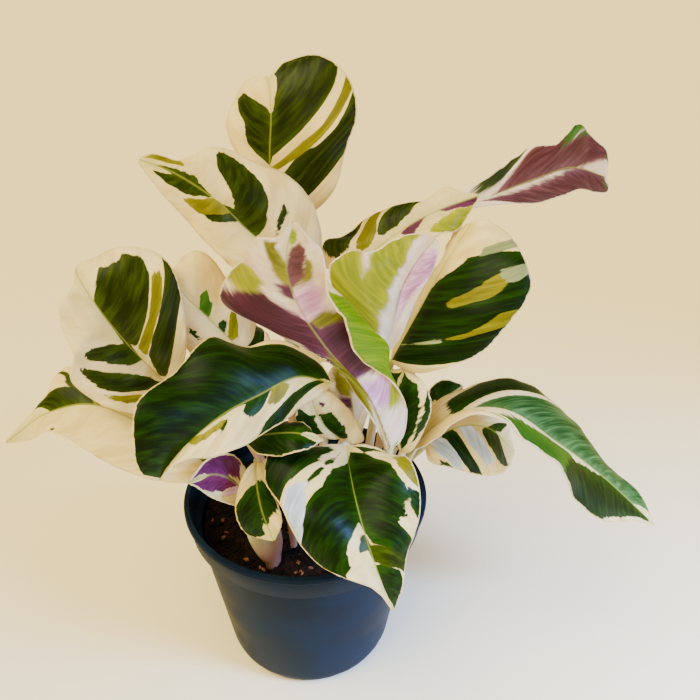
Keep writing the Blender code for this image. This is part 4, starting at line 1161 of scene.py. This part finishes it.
def soilHeight(x, y):
    # waves of three sizes, none of which runs straight
    s = soilSize
    big = s["crown"] * np.sin(x * 0.13 + 0.7) * np.cos(y * 0.16)
    small = np.sin(x * 0.61 + 1.3 * np.sin(y * 0.37)) * np.sin(y * 0.53 + 0.8 * np.sin(x * 0.41))
    fine = np.sin(x * 1.7 + 2.0 * np.sin(y * 0.9)) * np.cos(y * 1.9 + 1.1 * np.sin(x * 1.2))
    return s["top"] + big + s["relief"] * (s["small"] * small + s["fine"] * fine)


def makeSoil(material):
    s = soilSize
    profile = [(0, s["floor"]), (s["lowRadius"] - s["bevelIn"], s["floor"])]
    profile += [(s["lowRadius"], s["bevelTop"]), (s["radius"], s["top"] - s["edgeDrop"])]
    profile += [(s["radius"] * (1 - k / s["rings"]), s["top"]) for k in range(1, s["rings"])]
    points, faces = turnedSolid(profile + [(0, s["top"])], s["segments"])
    spots = np.array(points) / mm
    onTop = spots[:, 2] > s["top"] - s["edgeDrop"] / 2
    spots[onTop, 2] = soilHeight(spots[onTop, 0], spots[onTop, 1])
    return meshPiece("pottingMix", (spots * mm).tolist(), faces, material, s["sharpAngle"])


def crumbTree():
    # scatters rough pebbles over a bed: count, sizes, flatness and seed are inputs
    tree = bpy.data.node_groups.new("scatterCrumbs", "GeometryNodeTree")
    sockets = tree.interface
    sockets.new_socket("Geometry", in_out="INPUT", socket_type="NodeSocketGeometry")
    for label, kind in (("Per Square Metre", "Float"), ("Least", "Float"), ("Most", "Float"),
                        ("Flatness", "Float"), ("Seed", "Int"), ("Finish", "Material")):
        sockets.new_socket(label, in_out="INPUT", socket_type="NodeSocket" + kind)
    sockets.new_socket("Geometry", in_out="OUTPUT", socket_type="NodeSocketGeometry")
    given = addNode(tree, "NodeGroupInput", {}).node.outputs
    spots = addNode(tree, "GeometryNodeDistributePointsOnFaces", {
        "Mesh": given["Geometry"], "Density": given["Per Square Metre"], "Seed": given["Seed"]})
    ball = addNode(tree, "GeometryNodeMeshIcoSphere", {"Radius": 0.5, "Subdivisions": 2})
    where = addNode(tree, "GeometryNodeInputPosition", {})
    rough = addNode(tree, "ShaderNodeTexNoise", {"Vector": where, "Scale": 2.6, "Detail": 2.0}, "Color")
    centred = addNode(tree, "ShaderNodeVectorMath", {0: rough, 1: (0.5, 0.5, 0.5)}, operation="SUBTRACT")
    push = addNode(tree, "ShaderNodeVectorMath", {0: centred, "Scale": 0.9}, operation="SCALE")
    lump = addNode(tree, "GeometryNodeSetPosition", {"Geometry": ball, "Offset": push})
    flatter = addNode(tree, "ShaderNodeCombineXYZ", {0: 1.0, 1: 0.8, 2: given["Flatness"]})
    squashed = addNode(tree, "GeometryNodeTransform", {"Geometry": lump, "Scale": flatter})
    spin = addNode(tree, "FunctionNodeRandomValue", {
        0: (-0.5, -0.5, 0.0), 1: (0.5, 0.5, 6.28), "Seed": given["Seed"]}, data_type="FLOAT_VECTOR")
    size = addNode(tree, "FunctionNodeRandomValue", {
        2: given["Least"], 3: given["Most"], "Seed": given["Seed"]}, 1, data_type="FLOAT")
    copies = addNode(tree, "GeometryNodeInstanceOnPoints", {
        "Points": spots, "Instance": squashed, "Rotation": spin, "Scale": size})
    solid = addNode(tree, "GeometryNodeRealizeInstances", {"Geometry": copies})
    dressed = addNode(tree, "GeometryNodeSetMaterial", {"Geometry": solid, "Material": given["Finish"]})
    addNode(tree, "NodeGroupOutput", {"Geometry": dressed})
    return tree


def crumbBed():
    # the disc that the crumbs lie on, following the soil's relief
    rings, segments = bedSize["rings"], bedSize["segments"]
    spots, cells = [], []
    for i in range(rings + 1):
        for k in range(segments):
            a = 2 * math.pi * k / segments
            radius = bedSize["radius"] * max(i, bedSize["middle"]) / rings
            x, y = radius * math.cos(a), radius * math.sin(a)
            spots.append((x * mm, y * mm, (float(soilHeight(x, y)) - bedSize["sunk"]) * mm))
    for i in range(rings):
        for k in range(segments):
            m, low, high = (k + 1) % segments, i * segments, (i + 1) * segments
            cells.append([low + k, high + k, high + m, low + m])
    mesh = bpy.data.meshes.new("crumbBedMesh")
    mesh.from_pydata(spots, [], cells)
    return mesh


def scatter(name, kind, tree, bed, material):
    host = shown(name, bed.copy())
    step = host.modifiers.new("scatter", "NODES")
    step.node_group = tree
    area = math.pi * (bedSize["radius"] * mm) ** 2
    wanted = {"Per Square Metre": kind["count"] / area, "Least": kind["least"], "Most": kind["most"],
              "Flatness": kind["flat"], "Seed": kind["seed"], "Finish": material}
    for item in tree.interface.items_tree:
        if item.in_out == "INPUT" and item.name in wanted:
            step[item.identifier] = wanted[item.name]
    meshNow(host).shade_smooth()
    return host


peat, bark = peatMaterial(), barkMaterial()
soil = makeSoil(peat)
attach(soil, "root")
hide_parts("soil")
scattering, bed = crumbTree(), crumbBed()
for label, finish in (("peatCrumbs", peat), ("barkChips", bark)):
    crumbs = scatter(label, crumbKinds[label], scattering, bed, finish)
    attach(crumbs, "root")
print("calathea: potting mix laid")


# Floor and light: a pale table in a warm room, with cool daylight from the lower right. Metres.
studio = {
    "floor": "#FCEDB4", "floorRough": 0.8, "floorHalf": 4, "world": "#FFE2A6", "worldStrength": 0.9,
    "sun": {"strength": 5.2, "angle": 50.0, "from": (-0.5, -0.35, 1.0), "colour": "#FFEFC6"},
    "windows": {
        "windowRight": {"from": (0.75, -0.38, 0.62), "aim": (0.32, -0.24, 0.0), "power": 260.0,
                        "colour": "#7EA2FF"},
        "windowLow": {"from": (0.45, -0.75, 0.3), "aim": (0.05, -0.03, 0.05), "power": 8.0,
                      "colour": "#90B0FF"},
    },
    "windowRadius": 0.16, "windowCone": 62.0,
}
sensorWidth = 36.0


def makeFloor():
    # a painted table top, matt
    half = studio["floorHalf"]
    mesh = bpy.data.meshes.new("floorMesh")
    mesh.from_pydata([(-half, -half, 0), (half, -half, 0), (half, half, 0), (-half, half, 0)], [],
                     [(0, 1, 2, 3)])
    material, tree = newMaterial("paleFloor")
    fill(tree, tree.nodes["Principled BSDF"], {"Base Color": srgb(studio["floor"]),
                                               "Roughness": studio["floorRough"]})
    mesh.materials.append(material)
    shown("floor", mesh)


def makeLights():
    world = bpy.data.worlds.new("studio")
    bpy.context.scene.world = world
    world.use_nodes = True
    tree = world.node_tree
    fill(tree, tree.nodes["Background"], {0: srgb(studio["world"]), 1: studio["worldStrength"]})
    sun = studio["sun"]
    sunlight = bpy.data.lights.new("softSun", "SUN")
    sunlight.energy = sun["strength"]
    sunlight.angle = math.radians(sun["angle"])
    sunlight.color = srgb(sun["colour"])[:3]
    aimLight(sunlight, sun["from"], (0, 0, 0))
    for name, window in studio["windows"].items():
        light = bpy.data.lights.new(name, "SPOT")
        light.spot_size = math.radians(studio["windowCone"])
        light.spot_blend = 1.0
        light.shadow_soft_size = studio["windowRadius"]
        light.energy = window["power"]
        light.color = srgb(window["colour"])[:3]
        aimLight(light, window["from"], window["aim"])


def aimLight(data, place, aim):
    lamp = shown(data.name, data)
    lamp.location = place
    lamp.rotation_euler = (Vector(aim) - Vector(place)).to_track_quat("-Z", "Y").to_euler()


def makeCamera():
    data = bpy.data.cameras.new("camera")
    data.sensor_width = sensorWidth
    data.lens = sensorWidth * view["focalPixels"] / view["imagePixels"]
    data.clip_start = 0.01
    camera = shown("camera", data)
    camera.location = [c * mm for c in view["place"]]
    camera.rotation_euler = (math.radians(90 - view["pitchDown"]), 0, 0)
    bpy.context.scene.camera = camera


makeFloor()
makeLights()
makeCamera()
print("calathea: studio ready")
